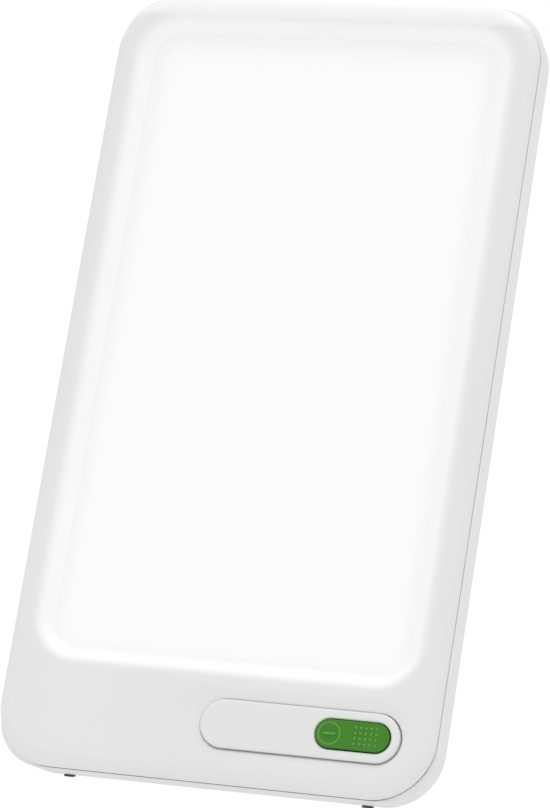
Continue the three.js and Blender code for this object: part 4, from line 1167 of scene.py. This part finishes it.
def screwSet(look, places, seed, flipped=False):
    shape = driveScrew(look)
    if flipped:
        shape.data.transform(Matrix.Rotation(2 * quarterTurn, 4, "X"))
    screws = grown(screwShape, {"Shape": shape, "Seed": seed, "Finish": zincSteel}, route(places, joined=False))
    bpy.data.objects.remove(shape)
    return screws


screws = screwSet(housingScrew, [(x, y, boss["head"]) for x, y in screwPlaces], 4, flipped=True)
housingNodes = ["housing_screw_" + str(i + 1) for i in range(6)]
stood(softened(screws), "housingScrews", zincSteel, "zinc_steel", *housingNodes)
screws = screwSet(smallScrew, [(x, y, onBoard) for x, y in boardScrews], 7)
stood(softened(screws), "boardScrews", zincSteel, "zinc_steel", "board_screw_1", "board_screw_2")
for name, side, axis in (("left", -1, "-X"), ("right", 1, "X")):
    screws = screwSet(smallScrew, [(0, 0, 0)], 9)
    moved(screws, (side * (tubHalf + hinge["boss"] + hinge["plate"] + 2 * gap), retainerY, retainerZ), axis)
    stood(softened(screws), name + "RetainerScrew", zincSteel, "zinc_steel", "retainer_screw_" + name)
print("screws driven")


# Hinge: turned pins with a small bevel at each end, and thin washers between the leg and the pocket's walls
washer = {"wall": 0.4, "rim": 0.9, "edge": 0.08}


def hingePin(low, high, axis):
    radius, bevel = hinge["pin"], 0.25
    profile = [(0, low), (radius - bevel, low), (radius, low + bevel), (radius, high - bevel),
               (radius - bevel, high), (0, high)]
    return moved(turned(profile, 8), (0, hinge["y"], hingeZ), axis)


def frictionWasher(side):
    inner = hinge["pin"] + gap
    outer = inner + washer["rim"]
    half, edge = washer["wall"] / 2, washer["edge"]
    section = [(inner, -half), (inner, half), (outer - edge, half), (outer, half - edge), (outer, edge - half),
               (outer - edge, -half)]
    body = skin([circle(0, 0, radius, z, 8) for radius, z in section], joined=True)
    return moved(body, (side * (leg["width"] / 2 + pocketHalf) / 2, hinge["y"], hingeZ), "X")


for name, side, axis in (("left", -1, "-X"), ("right", 1, "X")):
    pin = hingePin(leg["width"] / 2 - hinge["grip"] + gap, tubHalf + hinge["boss"], axis)
    stood(softened(pin), name + "HingePin", zincSteel, "zinc_steel", "hinge_pin_" + name)
    ringed = softened(frictionWasher(side))
    stood(ringed, name + "FrictionWasher", zincSteel, "zinc_steel", "friction_washer_" + name)
print("hinge fitted")


# Supply socket in the left side, with its centre pin
def supplySocket():
    def face(offset, z):
        return centred(socket["side"], socket["side"], offset, 0.6, z, 4)

    body = skin([*lowerEdge(face, 0.3, 0, 3), *rounded(face, 0.3, socket["length"], steps=3)])
    cut(body, flared(lambda offset, z: circle(0, 0, socket["bore"] + offset, z), 0, socket["deep"], 0.4))
    return moved(body, (socketFace, socket["y"], socket["z"]), "X")


def socketPin():
    radius, tip, back = socket["pin"], socket["pinBack"], socket["deep"] - gap
    profile = [(0, tip)]
    for share in shares(5)[1:]:
        turn = share * quarterTurn
        profile.append((radius * math.sin(turn), tip + radius * 0.7 * (1 - math.cos(turn))))
    return moved(turned([*profile, (radius, back), (0, back)], 6), (socketFace, socket["y"], socket["z"]), "X")


stood(softened(supplySocket()), "supplySocketBody", partPlastic, "dark_component", "supply_socket")
stood(softened(socketPin()), "socketCentrePin", zincSteel, "zinc_steel", "socket_pin")
print("socket fitted")


# LED strips: a white board along each side of the light guide, with a row of packages that face the guide
def rowTree():
    tree, given = newTree("partRow", {"Count": 2, "Pitch": 5.0, "Shape": "Object", "Finish": "Material"})
    step = addNode(tree, "ShaderNodeCombineXYZ", {"Y": given["Pitch"]})
    line = {"Count": given["Count"], "Offset": step.outputs["Vector"]}
    row = addNode(tree, "GeometryNodeMeshLine", line, mode="OFFSET")
    return endTree(tree, spread(tree, row.outputs["Mesh"], given["Shape"]), given["Finish"])


def package():
    # a package that faces the guide, with its cup left open for the phosphor
    def face(offset, z):
        return centred(guideFront - guideBack - 0.4, led["length"], offset, 0.2, z, 3)

    body = skin([face(0, 0), *rounded(face, 0.1, led["depth"], steps=2)])
    return cut(body, skin([face(-0.6, led["depth"] - led["cup"]), face(-0.35, led["depth"] + over)]))


def phosphor():
    def face(offset, z):
        return centred(1.55, led["length"] - 1.05, offset, 0.2, z, 3)

    return skin([face(offset, led["depth"] - low) for offset, low in ((0, 0.36), (0.08, 0.15), (-0.3, 0.08))])


guideMiddle = (guideFront + guideBack) / 2
ledRow = rowTree()
for name, side, axis in (("left", -1, "X"), ("right", 1, "-X")):
    inner = guideHalf + gap + led["depth"]
    deep = (reflectorFront - optics["reflector"], filmFront)
    strip = block((side * inner, side * (inner + led["board"])), (ledBottom, ledTop), deep)
    stood(softened(strip), name + "LedBoard", whiteBoard, "circuit_white", "led_strip_" + name)
    for part, maker, material in (("Packages", package, ledEpoxy), ("Phosphor", phosphor, ledPhosphor)):
        shape = moved(maker(), axis=axis)
        row = grown(ledRow, {"Count": led["count"], "Pitch": led["pitch"], "Shape": shape, "Finish": material})
        bpy.data.objects.remove(shape)
        moved(row, (side * inner, ledBottom + led["pitch"] / 2, guideMiddle))
        stood(softened(row), name + "Led" + part, material, "circuit_white")
print("LED strips set")


# Leads: round insulated wires through a few places
wire = {"radius": 0.8, "pitch": 3.2, "sides": 12, "turn": 6.0}
connector = {"fromEnd": 3.8, "width": 14.0, "height": 4.0}

bend = wire["pitch"]
leadLevel = onBoard + connector["height"] / 2
leadEnd = boardLeft + connector["fromEnd"] - gap
stripX = guideHalf + gap + led["depth"] + led["board"] / 2
startY = plateY + connector["width"] / 2 - wire["radius"] * 2
turnY = guideBottom - wire["turn"]
lowWire = onBoard + wire["radius"]


def leadTree():
    tree, given = newTree("lead", {"Radius": 0.5, "Sides": 12, "Finish": "Material"})
    line = addNode(tree, "GeometryNodeMeshToCurve", {"Mesh": given["Geometry"]})
    smooth = addNode(tree, "GeometryNodeCurveSplineType", {"Curve": line.outputs["Curve"]}, spline_type="CATMULL_ROM")
    even = addNode(tree, "GeometryNodeResampleCurve", {"Curve": smooth.outputs["Curve"], "Count": 48})
    section = addNode(tree, "GeometryNodeCurvePrimitiveCircle", {
        "Resolution": given["Sides"], "Radius": given["Radius"],
    })
    tube = addNode(tree, "GeometryNodeCurveToMesh", {
        "Curve": even.outputs["Curve"], "Profile Curve": section.outputs["Curve"], "Fill Caps": True,
    })
    return endTree(tree, welded(tree, tube.outputs["Mesh"]), given["Finish"])


def atLevel(z, *places):
    return [(x, y, z) for x, y in places]


def supplyRoute(side):
    fromY, toY = [y + side * wire["pitch"] / 2 for y in (socket["y"], plateY)]
    start = socketFace + socket["length"] + gap
    third = (leadEnd - start) / 3
    return atLevel(socket["z"], (start, fromY), (start + bend, fromY)) + atLevel(
        leadLevel, (start + third, fromY), (leadEnd - third, toY), (leadEnd - bend, toY), (leadEnd, toY),
    )


leftRoute = atLevel(
    leadLevel, (leadEnd, startY), (leadEnd - bend, startY), (leadEnd - bend * 3, turnY), (-stripX / 2, turnY),
    (bend * 3 - stripX, turnY),
) + atLevel(guideMiddle, (-stripX, turnY + bend * 2), (-stripX, ledBottom - bend), (-stripX, ledBottom - gap))
rightRoute = atLevel(
    lowWire, (stripX - bend * 2, boardTop - bend * 2), (stripX - bend * 2, boardTop - bend),
    (stripX - bend, boardTop + bend),
) + atLevel(guideMiddle, (stripX, guideBottom), (stripX, ledBottom - bend), (stripX, ledBottom - gap))
leads = {
    "redSupplyLead": ("supply_lead_red", redPvc, "red_lead", supplyRoute(1)),
    "blackSupplyLead": ("supply_lead_black", blackPvc, "black_lead", supplyRoute(-1)),
    "leftLedLead": ("led_lead_left", whitePvc, "white_lead", leftRoute),
    "rightLedLead": ("led_lead_right", whitePvc, "white_lead", rightRoute),
}
leadShape = leadTree()
for name, (node, material, slot, places) in leads.items():
    lead = grown(leadShape, {"Radius": wire["radius"], "Sides": wire["sides"], "Finish": material}, route(places))
    stood(softened(outwards(lead)), name, material, slot, node)
print("leads run")


# Parts kept as the solids are: each gets the finish of its real material
kept = {
    "power_switch": partPlastic, "driver_chip": partPlastic, "inductor": partPlastic, "switch_plunger": trimAbs,
    "driver_board": greenBoard, "capacitor": railAluminium, "led_rail_left": railAluminium,
    "led_rail_right": railAluminium, "lead_connector": ledEpoxy, "pin_retainer_left": zincSteel,
    "pin_retainer_right": zincSteel,
}
for node, material in kept.items():
    for place in frame["nodes"][node].material_slots:
        place.material = material
print("other parts finished")


# Floor, light and background: a pale light table under a wide softbox, with a small lamp low in front and a
# distant one high on the right that grazes the face
studio = {"world": 0.865, "floor": 6.0, "table": 0.66, "paper": 0.22, "seen": 0.86}
lamps = {
    "softbox": {"size": 2.2, "power": 2.0, "place": (-0.25, 0.15, 1.9)},
    "lowLamp": {"size": 0.5, "power": 0.15, "place": (0, -0.5, 0.12)},
    "highLamp": {"size": 0.5, "power": 10.0, "place": (0.45, 0.76, 2.8)},
}


def glowing(tree, kind, given, seen):
    # a white light of one strength, and of another where the camera sees it, straight or in a shine
    rays = addNode(tree, "ShaderNodeLightPath")
    direct = rays.outputs["Is Camera Ray"]
    for ray in ("Is Glossy Ray", "Is Transmission Ray"):
        direct = addNode(tree, "ShaderNodeMath", {0: direct, 1: rays.outputs[ray]}, operation="MAXIMUM").outputs[0]
    return addNode(tree, kind, {"Color": (1, 1, 1, 1), "Strength": between(tree, direct, given, seen)}).outputs[0]


def stage():
    material = bpy.data.materials.new("paperOnLightTable")
    tree = emptied(material)
    paper = addNode(tree, "ShaderNodeBsdfDiffuse", {"Color": (studio["paper"],) * 3 + (1,), "Roughness": 0.5})
    glow = glowing(tree, "ShaderNodeEmission", studio["table"], studio["seen"])
    both = addNode(tree, "ShaderNodeAddShader", {0: paper.outputs["BSDF"], 1: glow})
    addNode(tree, "ShaderNodeOutputMaterial", {"Surface": both.outputs["Shader"]})
    bm = bmesh.new()
    bmesh.ops.create_grid(bm, x_segments=1, y_segments=1, size=studio["floor"] / 2)
    floor = made(bm)
    floor.name = "studioFloor"
    floor.data.materials.append(material)
    world = bpy.data.worlds.new("studio")
    bpy.context.scene.world = world
    tree = emptied(world)
    sky = glowing(tree, "ShaderNodeBackground", studio["world"], 1.0)
    addNode(tree, "ShaderNodeOutputWorld", {"Surface": sky})
    for name, look in lamps.items():
        lamp = bpy.data.objects.new(name, bpy.data.lights.new(name, "AREA"))
        lamp.data.shape = "SQUARE"
        lamp.data.size = look["size"]
        lamp.data.energy = look["power"]
        lamp.location = look["place"]
        lamp.rotation_euler = (Vector(look["place"]) - middle).to_track_quat("Z", "Y").to_euler()
        bpy.context.scene.collection.objects.link(lamp)


stage()
print("studio lit")
